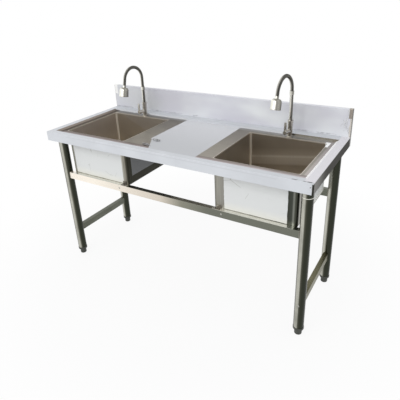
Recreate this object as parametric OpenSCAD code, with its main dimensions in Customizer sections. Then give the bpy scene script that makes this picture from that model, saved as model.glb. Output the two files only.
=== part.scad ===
// Commercial double bowl sink table in folded stainless sheet.
// Millimetres, +Z up, +X to the right, front towards -Y.
// Origin on the floor, in the middle of the footprint.

/* [Overall] */
// Length of the sink table
overall_length = 1500; // [1400:10:1800]
// Depth from the front apron to the back of the splash
overall_depth = 600; // [540:5:700]
// Height of the rim above the floor
rim_height = 825; // [780:5:900]
// Thickness of the folded sheet
sheet = 1.2; // [1:0.1:1.5]
// Outer radius of a fold
fold_radius = 2; // [1.8:0.1:2.5]

/* [Top panel] */
// Height of the apron under the rim
apron_height = 50; // [40:1:65]
// Width of the lip turned in under the apron
apron_lip = 8; // [5:1:9]
// Flat width of the raised rim at the two ends
end_rim = 38; // [30:1:42]
// Flat width of the raised rim along the front
front_rim = 36; // [28:1:40]
// Width of the raised strip in front of the splash
rear_rim = 55; // [40:1:70]
// Width of the deck strip behind the bowls, which the taps stand on
tap_strip = 45.8; // [45.6:0.2:60]
// Drop from the rim to the deck
rim_drop = 9.5; // [5:0.5:12]
// Width of the slope from the rim to the deck
rim_slope = 10; // [6:1:12]

/* [Splash] */
// Rise of the splash above the rim
splash_rise = 140; // [100:5:200]
// Thickness of the folded splash
splash_thickness = 20; // [16:1:22]
// Height of the short flange folded in at the foot of the splash back
splash_hem = 15; // [8:1:20]

/* [Bowls] */
// Inside length of a bowl
bowl_length = 406; // [350:1:410]
// Depth of a bowl below the deck
bowl_depth = 254; // [180:1:300]
// Radius of the upright corners inside a bowl
bowl_corner = 12; // [9:1:30]
// Radius around the bottom inside a bowl
bowl_bottom_radius = 7; // [5:0.5:8]
// Distance from the end of the table to the bowl
bowl_end_margin = 80; // [78:1:95]
// Gap between the front beam and the bowl behind it
bowl_beam_gap = 0.3; // [0.3:0.1:4]
// Width of the flange that joins a bowl to the deck
bowl_flange = 6; // [4:0.5:6.5]

/* [Deck stiffeners] */
// Distance between the middles of the two stiffening channels
stiffener_distance = 180; // [120:5:200]
// Width of a stiffening channel over its flanges
stiffener_width = 60; // [50:1:70]
// Depth of a stiffening channel
stiffener_depth = 22; // [15:1:30]
// Width of the flanges of a stiffening channel
stiffener_flange = 14; // [10:1:20]

/* [Legs] */
// Outer diameter of a leg tube
leg_diameter = 50; // [45:0.5:50.5]
// Wall of a leg tube
leg_wall = 1.5; // [1.2:0.1:2]
// Distance from the end of the table to a leg axis
leg_end_inset = 39; // [38:0.5:40]
// Distance from the front of the table to a front leg axis
leg_front_inset = 68; // [64:0.5:69]
// Distance from the back of the table to a rear leg axis
leg_rear_inset = 100; // [94:0.5:101]
// Length of the socket sleeve under its plate
socket_length = 59; // [45:1:80]
// Wall of the socket sleeve
socket_wall = 1.8; // [1.5:0.1:2]
// Thickness of the socket plate
socket_plate = 3; // [2:0.5:5]
// Length of the socket plate, front to back
socket_plate_length = 84; // [70:1:90]
// Radial gap between a leg and its socket
socket_gap = 0.2; // [0.1:0.05:0.3]

/* [Beams] */
// Width of a beam tube
beam_width = 25; // [20:1:26]
// Height of a beam tube
beam_height = 38; // [30:1:60]
// Wall of a beam tube
beam_wall = 1.5; // [1.2:0.1:2]
// Height of the top of the front and rear beams above the floor
long_beam_top = 568; // [540:1:600]
// Height of the underside of a side beam above the floor
side_beam_height = 160; // [130:1:300]
// Gap between a coped beam end and its leg
cope_gap = 0.2; // [0.1:0.05:0.3]
// Distance from a coped end to the threaded plate inside a side beam
end_plate_inset = 12; // [8:1:20]
// Thickness of the threaded plate inside a side beam
end_plate = 3; // [2:0.5:5]

/* [Screws and clips] */
// Radius of a frame screw
screw_radius = 3; // [2:0.25:3.5]
// Radius of a screw head
screw_head_radius = 5; // [4.5:0.25:6]
// Height of a screw head
screw_head_height = 2.4; // [1.5:0.1:3]
// Length of the screws in the front beam
beam_screw_length = 6; // [4:0.5:10]
// Distance of a beam screw from the middle of the table
beam_screw_offset = 312; // [280:1:340]
// Distance of a bowl clip from the middle of the table
clip_offset = 290; // [284:1:300]
// Length of a bowl clip along the beam
clip_length = 24; // [16:1:30]
// Height of a bowl clip above the beam
clip_height = 15; // [10:1:25]
// Thickness of a bowl clip
clip_thickness = 1.5; // [1:0.1:2]
// Distance of a bowl clip behind the front of the beam
clip_setback = 2; // [1:0.5:4]

/* [Feet] */
// Diameter of the collar on the end of a leg
collar_diameter = 52; // [51:0.5:58]
// Height of the collar below the leg
collar_height = 12; // [8:1:20]
// Depth of the plug that holds the collar in the leg
collar_plug = 25; // [18:1:40]
// Diameter of a foot
foot_diameter = 36; // [30:0.5:44]
// Height of a foot below its collar
foot_height = 33; // [28:1:45]
// Radius around the sole of a foot
foot_edge = 5; // [2:0.5:7]
// Radius of the foot stud
stud_radius = 6; // [5:0.5:8]
// Length of the foot stud
stud_length = 46; // [40:1:60]
// Gap between a foot and its collar
foot_gap = 0.3; // [0.2:0.05:0.5]

/* [Drains] */
// Diameter of the hole in the bowl bottom
drain_hole = 89; // [86.5:0.5:92]
// Diameter of the strainer flange
strainer_flange = 112; // [106:1:118]
// Thickness of the strainer flange and cup
strainer_wall = 1.5; // [1.2:0.1:2]
// Depth of the strainer cup below the bowl
strainer_depth = 46; // [40:1:60]
// Inside diameter of the strainer cup above the seat of the basket
strainer_bore = 83; // [82.5:0.1:83.2]
// Depth of the basket seat below the strainer flange
basket_seat = 8; // [6:0.5:12]
// Width of the ledge that the basket rests on
basket_ledge = 3; // [2:0.25:4]
// Gap around the basket and under its rim
basket_gap = 0.3; // [0.2:0.05:0.5]
// Depth of the basket below its rim
basket_depth = 28; // [20:1:30]
// Radius of one hole in the basket
basket_hole_radius = 2; // [1:0.25:2.5]
// Number of holes in the outer ring of the basket
basket_holes = 16; // [8:2:20]
// Radius of the outer ring of holes in the basket
outer_hole_ring = 26; // [24:0.5:30]
// Radius of the inner ring of holes in the basket
inner_hole_ring = 15; // [13:0.5:18]
// Height of the basket knob above the basket floor
basket_knob = 38; // [30:1:40]
// Height of the grip of the basket knob
knob_grip_height = 8; // [6:0.5:12]
// Radius of the grip of the basket knob
knob_grip_radius = 9; // [6:0.5:12]
// Radius of the stem of the basket knob
knob_stem_radius = 3; // [2:0.25:4]
// Diameter of the outlet under the strainer
outlet_diameter = 48; // [44:0.5:52]
// Length of the outlet under the strainer
outlet_length = 20; // [14:1:30]
// Thickness of the rubber washer under the bowl
washer_thickness = 3; // [2:0.5:5]
// Distance of the rubber washer inside the edge of the flange
washer_inset = 2; // [1:0.5:4]
// Height of the ring nut under the rubber washer
ring_nut_height = 12; // [8:1:16]
// Distance of the ring nut inside the edge of the flange
ring_nut_inset = 4; // [3:0.5:6]
// Width of a lug of the ring nut
ring_nut_lug = 8; // [6:0.5:12]
// Outer diameter of the tailpiece
tailpiece_diameter = 38; // [32:0.5:40]
// Wall of the tailpiece
tailpiece_wall = 1.2; // [1:0.1:2]
// Length of the tailpiece below the outlet
tailpiece_length = 75; // [50:1:110]
// Height of the neck of the tailpiece inside its nut
tailpiece_neck = 6; // [4:0.5:10]
// Extra radius of the neck of the tailpiece
tailpiece_neck_extra = 1; // [0.5:0.1:2]
// Height of the nut on a tailpiece
tailpiece_nut_height = 18; // [12:1:20]
// Lip of the nut under the tailpiece flange
tailpiece_nut_lip = 2; // [1:0.25:3]
// Wall of the nut on a tailpiece
tailpiece_nut_wall = 5; // [3:0.5:6]

/* [Taps] */
// Distance of the left tap from the middle of the table
left_tap_offset = 451; // [360:1:470]
// Distance of the right tap from the middle of the table
right_tap_offset = 471; // [400:1:500]
// Turn of the left valve from pointing left, towards the front
left_valve_turn = 74; // [0:1:80]
// Turn of the right valve from pointing left, towards the front
right_valve_turn = 76; // [0:1:80]
// Diameter of the ring between a tap and the deck
base_ring_diameter = 33; // [32:0.5:34]
// Thickness of the ring between a tap and the deck
base_ring_thickness = 4; // [2:0.5:6]
// Diameter of a tap body
body_diameter = 26; // [24:0.5:30]
// Height of a tap body above the deck
body_height = 85; // [70:1:110]
// Diameter of the collar at the top of a tap body
body_collar_diameter = 30; // [28:0.5:34]
// Height of the collar at the top of a tap body
body_collar_height = 12; // [8:1:18]
// Height of the valve axis above the deck
valve_height = 30; // [24:1:40]
// Diameter of the valve barrel
barrel_diameter = 20; // [18:0.5:22]
// Length of the valve barrel from the tap axis
barrel_length = 36; // [34:1:55]
// Diameter of the water way
water_way = 10; // [8:0.5:11]
// Radius of the threaded shank under the deck
shank_radius = 10.4; // [9.5:0.1:10.5]
// Length of the shank under the deck
shank_length = 62; // [45:1:75]
// Depth of the relief groove between the lock nut and the free thread
shank_relief = 0.8; // [0.4:0.1:1.2]
// Width of the relief groove between the lock nut and the free thread
shank_relief_width = 3; // [2:0.5:5]
// Gap around the shank and in other still fits
fit_gap = 0.2; // [0.1:0.05:0.25]
// Radial clearance of a turning or sliding fit
running_gap = 0.06; // [0.03:0.01:0.09]
// Height of a lock nut
lock_nut_height = 8; // [5:0.5:12]
// Width of a lock nut across its flats
lock_nut_width = 27; // [26:0.5:27.5]
// Thickness of the washer over a lock nut
lock_washer = 2; // [1:0.5:3]

/* [Valves and levers] */
// Radius of the valve cartridge
cartridge_radius = 7; // [6:0.25:8]
// Length of the valve cartridge
cartridge_length = 18; // [16:1:20]
// Radius of the lever stem
stem_radius = 2.5; // [2:0.1:3.5]
// Length of the lever stem inside the cartridge
stem_length = 11; // [8:1:14]
// Diameter of the lever hub
hub_diameter = 21; // [19:0.5:24]
// Thickness of the lever hub
hub_thickness = 10; // [8:0.5:14]
// Height of the lever above the valve axis
lever_length = 53; // [40:1:70]
// Width of the flat lever
lever_width = 13; // [8:0.5:16]
// Thickness of the flat lever
lever_thickness = 5; // [3:0.5:7]
// Gap between a valve barrel and its lever hub
hub_gap = 0.3; // [0.2:0.05:0.5]

/* [Spouts] */
// Diameter of a spout column
column_diameter = 18; // [15:0.5:22]
// Depth of the column in the tap body
column_socket = 26; // [20:1:30]
// Height of the left column above the deck
left_column_height = 168; // [140:1:240]
// Height of the right column above the deck
right_column_height = 222; // [140:1:240]
// Straight start of the left neck above its column
left_neck_start = 65; // [17:1:80]
// Straight start of the right neck above its column
right_neck_start = 17; // [17:1:80]
// Radius of the arch of the left neck
left_arch_radius = 69; // [60:1:95]
// Radius of the arch of the right neck
right_arch_radius = 78; // [60:1:95]
// Sweep of the arch of a neck
arch_sweep = 167; // [160:1:175]
// Straight end of the left neck above its spray head
left_neck_end = 37; // [17:1:50]
// Straight end of the right neck above its spray head
right_neck_end = 17; // [17:1:50]
// Turn of both spouts at rest from straight forward, towards the left
rest_swing = 5; // [0:1:40]
// Outer diameter over the ribs of a neck
neck_diameter = 18; // [14:0.5:18.4]
// Depth of the grooves between the ribs
rib_depth = 1; // [0.5:0.1:1.5]
// Diameter of the bore of a neck
neck_bore = 10; // [8:0.5:11]
// Number of ribs on a neck
neck_ribs = 100; // [60:1:100]

/* [Neck fittings] */
// Diameter of the ferrule on a column
ferrule_diameter = 22; // [21:0.5:24]
// Height of the ferrule over the neck
ferrule_over_neck = 10; // [6:0.5:14]
// Height of the ferrule over the column
ferrule_over_column = 8; // [6:0.5:14]
// Diameter of the fitting between a neck and its spray head
fitting_diameter = 18; // [16:0.5:20]
// Length of the fitting between a neck and its spray head
fitting_length = 11; // [8:0.5:16]
// Diameter of the spigot that the spray head turns on
spigot_diameter = 12; // [11.5:0.5:14]
// Length of the spigot that the spray head turns on
spigot_length = 11; // [8:0.5:14]
// Diameter of the bore of the spigot
spigot_bore = 8; // [6:0.5:9]

/* [Spray heads] */
// Diameter of a spray head at its mouth
head_diameter = 52; // [48:0.5:60]
// Length of a spray head
head_length = 51; // [46:0.5:60]
// Length of the domed shoulder of a spray head
head_shoulder = 17; // [12:0.5:22]
// Diameter of the flat on top of a spray head
head_crown = 21; // [20:0.5:26]
// Height of the band round the mouth of a spray head
mouth_band = 3; // [2:0.5:5]
// Bevel at the edge of the mouth of a spray head
mouth_bevel = 1; // [0.5:0.1:1.2]
// Wall of a spray head
head_wall = 2; // [1.5:0.1:2.5]
// Thickness of the spray plate
spray_plate_thickness = 3; // [2:0.25:4]
// Depth of the spray plate inside the mouth
spray_plate_inset = 1.5; // [0.5:0.25:3]
// Radius of one dimple in the spray plate
dimple_radius = 1; // [0.5:0.1:1.2]
// Depth of one dimple in the spray plate
dimple_depth = 1; // [0.5:0.1:1.5]
// Spacing of the rings of dimples in the spray plate
dimple_spacing = 6.3; // [5:0.1:7]

/* [Hidden] */
$fn = 64;
// Overlap of cuts past a face
over = 1;
front_y = -overall_depth / 2;
back_y = overall_depth / 2;
splash_y = back_y - splash_thickness;
deck_z = rim_height - rim_drop;
apron_z = rim_height - apron_height;
deck_under_z = deck_z - sheet;
// The recess that the deck lies in, between the rims
recess_length = overall_length - 2 * (end_rim + rim_slope);
recess_front_y = front_y + front_rim + rim_slope;
recess_back_y = splash_y - rear_rim - sheet;
bowl_back_y = recess_back_y - tap_strip;
bowl_front_y = front_y + leg_front_inset + beam_width / 2 + bowl_beam_gap + sheet;
// Inside width of a bowl, front to back
bowl_width = bowl_back_y - bowl_front_y;
bowl_x = overall_length / 2 - bowl_end_margin - bowl_length / 2;
bowl_y = bowl_back_y - bowl_width / 2;
bowl_floor_z = deck_z - bowl_depth;
bowl_under_z = bowl_floor_z - sheet;
leg_x = overall_length / 2 - leg_end_inset;
leg_front_y = front_y + leg_front_inset;
leg_rear_y = back_y - leg_rear_inset;
leg_radius = leg_diameter / 2;
leg_bottom_z = foot_height + collar_height;
leg_top_z = deck_under_z - socket_plate;
socket_radius = leg_radius + socket_gap + socket_wall;
beam_top_z = long_beam_top;
beam_bottom_z = beam_top_z - beam_height;
side_screw_z = side_beam_height + beam_height / 2;
tap_y = bowl_back_y + tap_strip / 2;
valve_z = deck_z + valve_height;
body_top_z = deck_z + body_height;
lock_nut_z = deck_under_z - lock_washer - lock_nut_height;
neck_radius = neck_diameter / 2;
bore_radius = neck_bore / 2;
water_radius = water_way / 2;
column_radius = column_diameter / 2;
spigot_radius = spigot_diameter / 2;
// Gap around a screw and in other loose holes
hole_gap = 0.1;
// Radius of the dome of a screw head
screw_dome = (screw_head_radius ^ 2 + screw_head_height ^ 2) / (2 * screw_head_height);
strainer_cup_radius = strainer_bore / 2 + strainer_wall;
outlet_radius = outlet_diameter / 2;
tailpiece_radius = tailpiece_diameter / 2;
outlet_bottom_z = bowl_floor_z - strainer_depth - outlet_length;
// Sides and rings in a neck
neck_sides = 8;
bore_rings = 36;

// Each tap: place, valve turn, column height, neck start, arch radius, neck end
LEFT_TAP = [-left_tap_offset, left_valve_turn, left_column_height,
    left_neck_start, left_arch_radius, left_neck_end];
RIGHT_TAP = [right_tap_offset, right_valve_turn, right_column_height,
    right_neck_start, right_arch_radius, right_neck_end];

function tap_x(tap) = tap[0];
function valve_turn(tap) = tap[1];
function column_height(tap) = tap[2];
function neck_start(tap) = tap[3];
function arch_radius(tap) = tap[4];
function neck_end(tap) = tap[5];

// Length of the centre line of a neck
function arch_length(tap) = arch_radius(tap) * arch_sweep * PI / 180;
function neck_length(tap) = neck_start(tap) + arch_length(tap) + neck_end(tap);

// Angle turned by the neck at distance s along its centre line
function bend(tap, s) =
    s <= neck_start(tap) ? 0 :
    s >= neck_start(tap) + arch_length(tap) ? arch_sweep :
    (s - neck_start(tap)) / arch_length(tap) * arch_sweep;

// Point of the centre line at distance s: forward reach and height
function neck_point(tap, s) =
    let (a = bend(tap, s),
         r = arch_radius(tap),
         tail = max(0, s - neck_start(tap) - arch_length(tap)))
    [r * (1 - cos(a)) + tail * sin(a),
     min(s, neck_start(tap)) + r * sin(a) + tail * cos(a)];

// Ring of points round the centre line, square to it
function neck_ring(tap, s, radius) =
    let (a = bend(tap, s), p = neck_point(tap, s))
    [for (i = [0 : neck_sides - 1])
        let (t = 360 * (i + 0.5) / neck_sides, out = radius * cos(t))
        [radius * sin(t), -(p[0] - out * cos(a)), p[1] + out * sin(a)]];

// Colours
film = "#D2D6DC";
steel = "#A8A298";
bowl_steel = "#7A6E62";
leg_steel = "#6B6E60";
dark_foot = "#3A3D36";
rubber_black = "#222222";
tap_steel = "#8D8E88";

// Outline of a block whose two lower corners are round
module round_bottom_outline(width, height, radius) {
    translate([-width / 2, radius])
        square([width, height - radius]);
    translate([-width / 2 + radius, 0])
        square([width - 2 * radius, height]);
    for (side = [-1, 1])
        translate([side * (width / 2 - radius), radius])
            circle(radius);
}

// Block with upright corners of radius corner and a rounded bottom edge
module tub_block(length, width, height, corner, radius) {
    for (x = [-1, 1], y = [-1, 1])
        translate([x * (length / 2 - corner), y * (width / 2 - corner), 0])
            rotate_extrude()
                intersection() {
                    round_bottom_outline(2 * corner, height, radius);
                    square([corner, height]);
                }
    rotate([90, 0, 90])
        translate([0, 0, -length / 2 + corner])
            linear_extrude(length - 2 * corner)
                round_bottom_outline(width, height, radius);
    rotate([90, 0, 0])
        translate([0, 0, -width / 2 + corner])
            linear_extrude(width - 2 * corner)
                round_bottom_outline(length, height, radius);
}

// Plain block with round upright corners
module round_plate(length, width, height, corner) {
    for (x = [-1, 1], y = [-1, 1])
        translate([x * (length / 2 - corner), y * (width / 2 - corner), 0])
            cylinder(h = height, r = corner);
    translate([-length / 2 + corner, -width / 2, 0])
        cube([length - 2 * corner, width, height]);
    translate([-length / 2, -width / 2 + corner, 0])
        cube([length, width - 2 * corner, height]);
}

module tube(outer, inner, height) {
    difference() {
        cylinder(h = height, r = outer);
        translate([0, 0, -over])
            cylinder(h = height + 2 * over, r = inner);
    }
}

// Top panel

// Wedge along X that fills the slope between rim and deck
module slope_wedge(length, drop, slope) {
    rotate([90, 0, 90])
        translate([0, 0, -length / 2])
            linear_extrude(length)
                polygon([[0, 0], [slope, 0], [0, drop]]);
}

// The space above the deck, inside the rims, lowered by shift and as much deeper behind the bowls
module deck_recess(shift) {
    x = recess_length / 2;
    w = recess_back_y - recess_front_y;
    rise = rim_drop + over;
    widen = rim_slope * rise / rim_drop;
    translate([0, 0, deck_z - shift])
        difference() {
            translate([-x - widen, recess_front_y - widen, 0])
                cube([2 * (x + widen), w + widen + shift, rise]);
            translate([0, recess_front_y - widen, 0])
                slope_wedge(2 * (x + widen) + 2 * over, rise, widen);
            for (side = [-1, 1])
                translate([side * (x + widen), recess_front_y + w / 2, 0])
                    rotate([0, 0, side * 90])
                        slope_wedge(w + 2 * widen + 2 * over, rise, widen);
        }
}

// The shape of the folded sheet from the rim down, grown inwards by inset
module panel_block(inset) {
    depth = overall_depth - inset + over;
    translate([0, front_y + inset + depth / 2, rim_height - inset])
        mirror([0, 0, 1])
            tub_block(overall_length - 2 * inset, depth,
                apron_height + (inset > 0 ? over : 0),
                2 * fold_radius - inset, fold_radius - inset);
}

module top_panel() {
    color(film)
        difference() {
            union() {
                difference() {
                    panel_block(0);
                    difference() {
                        panel_block(sheet);
                        deck_recess(sheet);
                    }
                }
                // Lips turned in under the apron
                for (side = [-1, 1])
                    translate([side * (overall_length / 2 - sheet - apron_lip / 2) - apron_lip / 2,
                            front_y + 2 * fold_radius, apron_z])
                        cube([apron_lip, splash_y - front_y - 2 * fold_radius, sheet]);
                translate([-overall_length / 2 + 2 * fold_radius, front_y + sheet, apron_z])
                    cube([overall_length - 4 * fold_radius, apron_lip, sheet]);
            }
            deck_recess(0);
            // Room for the splash behind the panel
            translate([-overall_length / 2 - over, splash_y, apron_z - over])
                cube([overall_length + 2 * over, splash_thickness + 3 * over, apron_height + 2 * over]);
            for (side = [-1, 1])
                translate([side * bowl_x, bowl_y, deck_under_z - over])
                    round_plate(bowl_length, bowl_width, sheet + 2 * over, bowl_corner);
            for (tap = [LEFT_TAP, RIGHT_TAP])
                translate([tap_x(tap), tap_y, deck_under_z - over])
                    cylinder(h = sheet + 2 * over, r = shank_radius + fit_gap);
        }
}

// Splash

module splash_outline() {
    height = splash_rise + sheet;
    top = rim_height + splash_rise;
    difference() {
        union() {
            translate([splash_y, rim_height - sheet])
                square([sheet, height - fold_radius]);
            translate([splash_y + fold_radius, top - sheet])
                square([splash_thickness - 2 * fold_radius, sheet]);
            translate([back_y - sheet, apron_z])
                square([sheet, top - apron_z - fold_radius]);
            translate([back_y - sheet - splash_hem, apron_z])
                square([splash_hem + sheet / 2, sheet]);
            for (y = [splash_y + fold_radius, back_y - fold_radius])
                translate([y, top - fold_radius])
                    circle(fold_radius);
        }
        for (y = [splash_y + fold_radius, back_y - fold_radius])
            translate([y, top - fold_radius])
                circle(fold_radius - sheet);
        translate([splash_y + sheet, top - 3 * fold_radius])
            square([splash_thickness - 2 * sheet, 2 * fold_radius]);
        translate([splash_y + fold_radius, top - 2 * fold_radius])
            square([splash_thickness - 2 * fold_radius, 2 * fold_radius - sheet]);
    }
}

module backsplash() {
    length = overall_length - 2 * sheet;
    color(film)
        rotate([90, 0, 90])
            translate([0, 0, -length / 2])
                linear_extrude(length)
                    splash_outline();
}

module splash_cap(side) {
    color(leg_steel)
        translate([side * (overall_length - sheet) / 2 - sheet / 2, splash_y, apron_z])
            cube([sheet, splash_thickness, rim_height + splash_rise - apron_z]);
}

// Hat shaped channels under the middle of the deck
module deck_stiffeners() {
    flange = stiffener_flange;
    front = recess_front_y + rim_slope;
    length = recess_back_y - front - rim_slope;
    color(steel)
        for (side = [-1, 1])
            translate([side * stiffener_distance / 2, front, deck_under_z])
                rotate([-90, 0, 0])
                    linear_extrude(length) {
                        for (s = [-1, 1]) {
                            translate([s * (stiffener_width - flange) / 2 - flange / 2, 0])
                                square([flange, sheet]);
                            translate([s * (stiffener_width / 2 - flange) - sheet / 2, 0])
                                square([sheet, stiffener_depth]);
                        }
                        translate([-stiffener_width / 2 + flange, stiffener_depth - sheet])
                            square([stiffener_width - 2 * flange, sheet]);
                    }
}

// Bowls

module bowl(side) {
    color(bowl_steel)
        translate([side * bowl_x, bowl_y, 0])
            difference() {
                union() {
                    translate([0, 0, bowl_under_z])
                        tub_block(bowl_length + 2 * sheet, bowl_width + 2 * sheet,
                            bowl_depth, bowl_corner + sheet, bowl_bottom_radius + sheet);
                    translate([0, 0, deck_under_z - sheet])
                        round_plate(bowl_length + 2 * (sheet + bowl_flange),
                            bowl_width + 2 * (sheet + bowl_flange), sheet,
                            bowl_corner + sheet + bowl_flange);
                }
                translate([0, 0, bowl_floor_z])
                    tub_block(bowl_length, bowl_width, bowl_depth + over,
                        bowl_corner, bowl_bottom_radius);
                translate([0, 0, bowl_under_z - over])
                    cylinder(h = sheet + 2 * over, r = drain_hole / 2);
            }
}

// Small angle brackets between the front beam and the bowls
module bowl_clips() {
    face_y = bowl_front_y - sheet;
    seat = face_y - (leg_front_y - beam_width / 2) - clip_setback;
    color(tap_steel)
        for (side = [-1, 1])
            translate([side * clip_offset - clip_length / 2, face_y, beam_top_z]) {
                translate([0, -seat, 0])
                    cube([clip_length, seat, clip_thickness]);
                translate([0, -clip_thickness, 0])
                    cube([clip_length, clip_thickness, clip_height]);
            }
}

// Legs

module leg_place(x, y) {
    translate([x * leg_x, y > 0 ? leg_rear_y : leg_front_y, 0])
        children();
}

module leg_socket(x, y) {
    color(leg_steel)
        leg_place(x, y) {
            translate([-socket_radius, -socket_plate_length / 2, leg_top_z])
                cube([2 * socket_radius, socket_plate_length, socket_plate]);
            translate([0, 0, leg_top_z - socket_length])
                tube(socket_radius, leg_radius + socket_gap, socket_length);
        }
}

module leg(x, y) {
    color(leg_steel)
        leg_place(x, y)
            difference() {
                translate([0, 0, leg_bottom_z])
                    tube(leg_radius, leg_radius - leg_wall, leg_top_z - leg_bottom_z);
                translate([0, 0, side_screw_z])
                    rotate([90, 0, 0])
                        cylinder(h = 2 * leg_radius + 2 * over, r = screw_radius + hole_gap, center = true);
            }
}

module foot_collar(x, y) {
    color(dark_foot)
        leg_place(x, y)
            translate([0, 0, foot_height + foot_gap])
                difference() {
                    union() {
                        cylinder(h = collar_height - foot_gap, r = collar_diameter / 2);
                        cylinder(h = collar_height - foot_gap + collar_plug,
                            r = leg_radius - leg_wall - fit_gap);
                    }
                    translate([0, 0, -over])
                        cylinder(h = collar_height + collar_plug + 2 * over,
                            r = stud_radius + running_gap);
                }
}

module foot(x, y) {
    radius = foot_diameter / 2;
    color(dark_foot)
        leg_place(x, y) {
            rotate_extrude() {
                translate([0, foot_edge])
                    square([radius, foot_height - foot_edge]);
                square([radius - foot_edge, foot_height]);
                translate([radius - foot_edge, foot_edge])
                    circle(foot_edge);
            }
            cylinder(h = foot_height + stud_length, r = stud_radius);
        }
}

// Beams

// Rectangular tube along X, from the middle of its underside
module beam_tube(length) {
    difference() {
        translate([-length / 2, -beam_width / 2, 0])
            cube([length, beam_width, beam_height]);
        translate([-length / 2 - over, -beam_width / 2 + beam_wall, beam_wall])
            cube([length + 2 * over, beam_width - 2 * beam_wall, beam_height - 2 * beam_wall]);
    }
}

module cope_cut(x, y) {
    leg_place(x, y)
        cylinder(h = rim_height, r = leg_radius + cope_gap);
}

module long_beam(y) {
    place_y = y > 0 ? leg_rear_y : leg_front_y;
    color(leg_steel)
        difference() {
            translate([0, place_y, beam_bottom_z])
                beam_tube(2 * leg_x);
            cope_cut(-1, y);
            cope_cut(1, y);
            if (y < 0)
                for (side = [-1, 1])
                    translate([side * beam_screw_offset, place_y - beam_width / 2,
                            beam_bottom_z + beam_height / 2])
                        rotate([90, 0, 0])
                            cylinder(h = 2 * (beam_wall + over), r = screw_radius + hole_gap, center = true);
        }
}

module side_beam(x) {
    span = leg_rear_y - leg_front_y;
    plate_y = leg_radius + cope_gap + end_plate_inset;
    color(leg_steel)
        difference() {
            translate([x * leg_x, (leg_rear_y + leg_front_y) / 2, side_beam_height]) {
                rotate([0, 0, 90])
                    beam_tube(span);
                for (end = [-1, 1])
                    translate([-beam_width / 2 + beam_wall,
                            end * (span / 2 - plate_y) - end_plate / 2, beam_wall])
                        cube([beam_width - 2 * beam_wall, end_plate, beam_height - 2 * beam_wall]);
            }
            cope_cut(x, -1);
            cope_cut(x, 1);
            translate([x * leg_x, (leg_rear_y + leg_front_y) / 2, side_screw_z])
                rotate([90, 0, 0])
                    cylinder(h = span, r = screw_radius + hole_gap, center = true);
        }
}

// Pan headed screw along +Y from the underside of its head
module frame_screw(length) {
    rotate([-90, 0, 0])
        cylinder(h = length, r = screw_radius);
    rotate([90, 0, 0])
        rotate_extrude()
            intersection() {
                translate([0, screw_head_height - screw_dome])
                    circle(screw_dome);
                square([screw_head_radius, screw_head_height]);
            }
}

module frame_screws() {
    reach = 2 * leg_radius + cope_gap + end_plate_inset + end_plate;
    color(tap_steel) {
        for (side = [-1, 1])
            translate([side * beam_screw_offset, leg_front_y - beam_width / 2,
                    beam_bottom_z + beam_height / 2])
                frame_screw(beam_screw_length);
        for (x = [-1, 1]) {
            translate([x * leg_x, leg_front_y - leg_radius, side_screw_z])
                frame_screw(reach);
            translate([x * leg_x, leg_rear_y + leg_radius, side_screw_z])
                rotate([0, 0, 180])
                    frame_screw(reach);
        }
    }
}

// Drains

module drain_place(side) {
    translate([side * bowl_x, bowl_y, bowl_floor_z])
        children();
}

module strainer_body(side) {
    seat_radius = strainer_bore / 2 - basket_ledge;
    color(steel)
        drain_place(side)
            difference() {
                union() {
                    cylinder(h = strainer_wall, r = strainer_flange / 2);
                    translate([0, 0, -strainer_depth])
                        cylinder(h = strainer_depth, r = strainer_cup_radius);
                    translate([0, 0, -strainer_depth - outlet_length])
                        cylinder(h = outlet_length + over, r = outlet_radius);
                }
                translate([0, 0, strainer_wall - basket_seat])
                    cylinder(h = basket_seat + over, r = strainer_bore / 2);
                translate([0, 0, -strainer_depth + strainer_wall])
                    cylinder(h = strainer_depth, r = seat_radius);
                translate([0, 0, -strainer_depth - outlet_length - over])
                    cylinder(h = outlet_length + strainer_depth, r = outlet_radius - strainer_wall);
            }
}

module strainer_washer(side) {
    color(rubber_black)
        drain_place(side)
            translate([0, 0, -sheet - washer_thickness])
                tube(strainer_flange / 2 - washer_inset, strainer_cup_radius + fit_gap, washer_thickness);
}

module strainer_nut(side) {
    bottom = -sheet - washer_thickness - ring_nut_height;
    lug = ring_nut_lug;
    color(steel)
        drain_place(side)
            difference() {
                union() {
                    translate([0, 0, bottom])
                        cylinder(h = ring_nut_height, r = strainer_flange / 2 - ring_nut_inset);
                    for (a = [0 : 60 : 300])
                        rotate([0, 0, a])
                            translate([0, -lug / 2, bottom])
                                cube([strainer_flange / 2, lug, ring_nut_height / 2]);
                }
                translate([0, 0, bottom - over])
                    cylinder(h = ring_nut_height + 2 * over, r = strainer_cup_radius + fit_gap);
            }
}

module strainer_basket(side) {
    rim = strainer_bore / 2 - basket_gap;
    cup = strainer_bore / 2 - basket_ledge - basket_gap - fit_gap;
    rim_z = strainer_wall - basket_seat + basket_gap;
    floor_z = rim_z - basket_depth;
    color(steel)
        drain_place(side) {
            difference() {
                union() {
                    translate([0, 0, rim_z])
                        cylinder(h = strainer_wall, r = rim);
                    translate([0, 0, floor_z])
                        cylinder(h = basket_depth + over / 2, r = cup);
                }
                translate([0, 0, floor_z + strainer_wall])
                    cylinder(h = basket_depth + strainer_wall, r = cup - strainer_wall);
                for (i = [0 : basket_holes - 1])
                    rotate([0, 0, 360 * i / basket_holes])
                        translate([outer_hole_ring, 0, floor_z - over])
                            cylinder(h = strainer_wall + 2 * over, r = basket_hole_radius);
                for (i = [0 : basket_holes / 2 - 1])
                    rotate([0, 0, 720 * i / basket_holes])
                        translate([inner_hole_ring, 0, floor_z - over])
                            cylinder(h = strainer_wall + 2 * over, r = basket_hole_radius);
            }
            translate([0, 0, floor_z + strainer_wall / 2])
                cylinder(h = basket_knob - knob_grip_height, r = knob_stem_radius);
            translate([0, 0, floor_z + basket_knob - knob_grip_height])
                cylinder(h = knob_grip_height, r = knob_grip_radius);
        }
}

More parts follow.
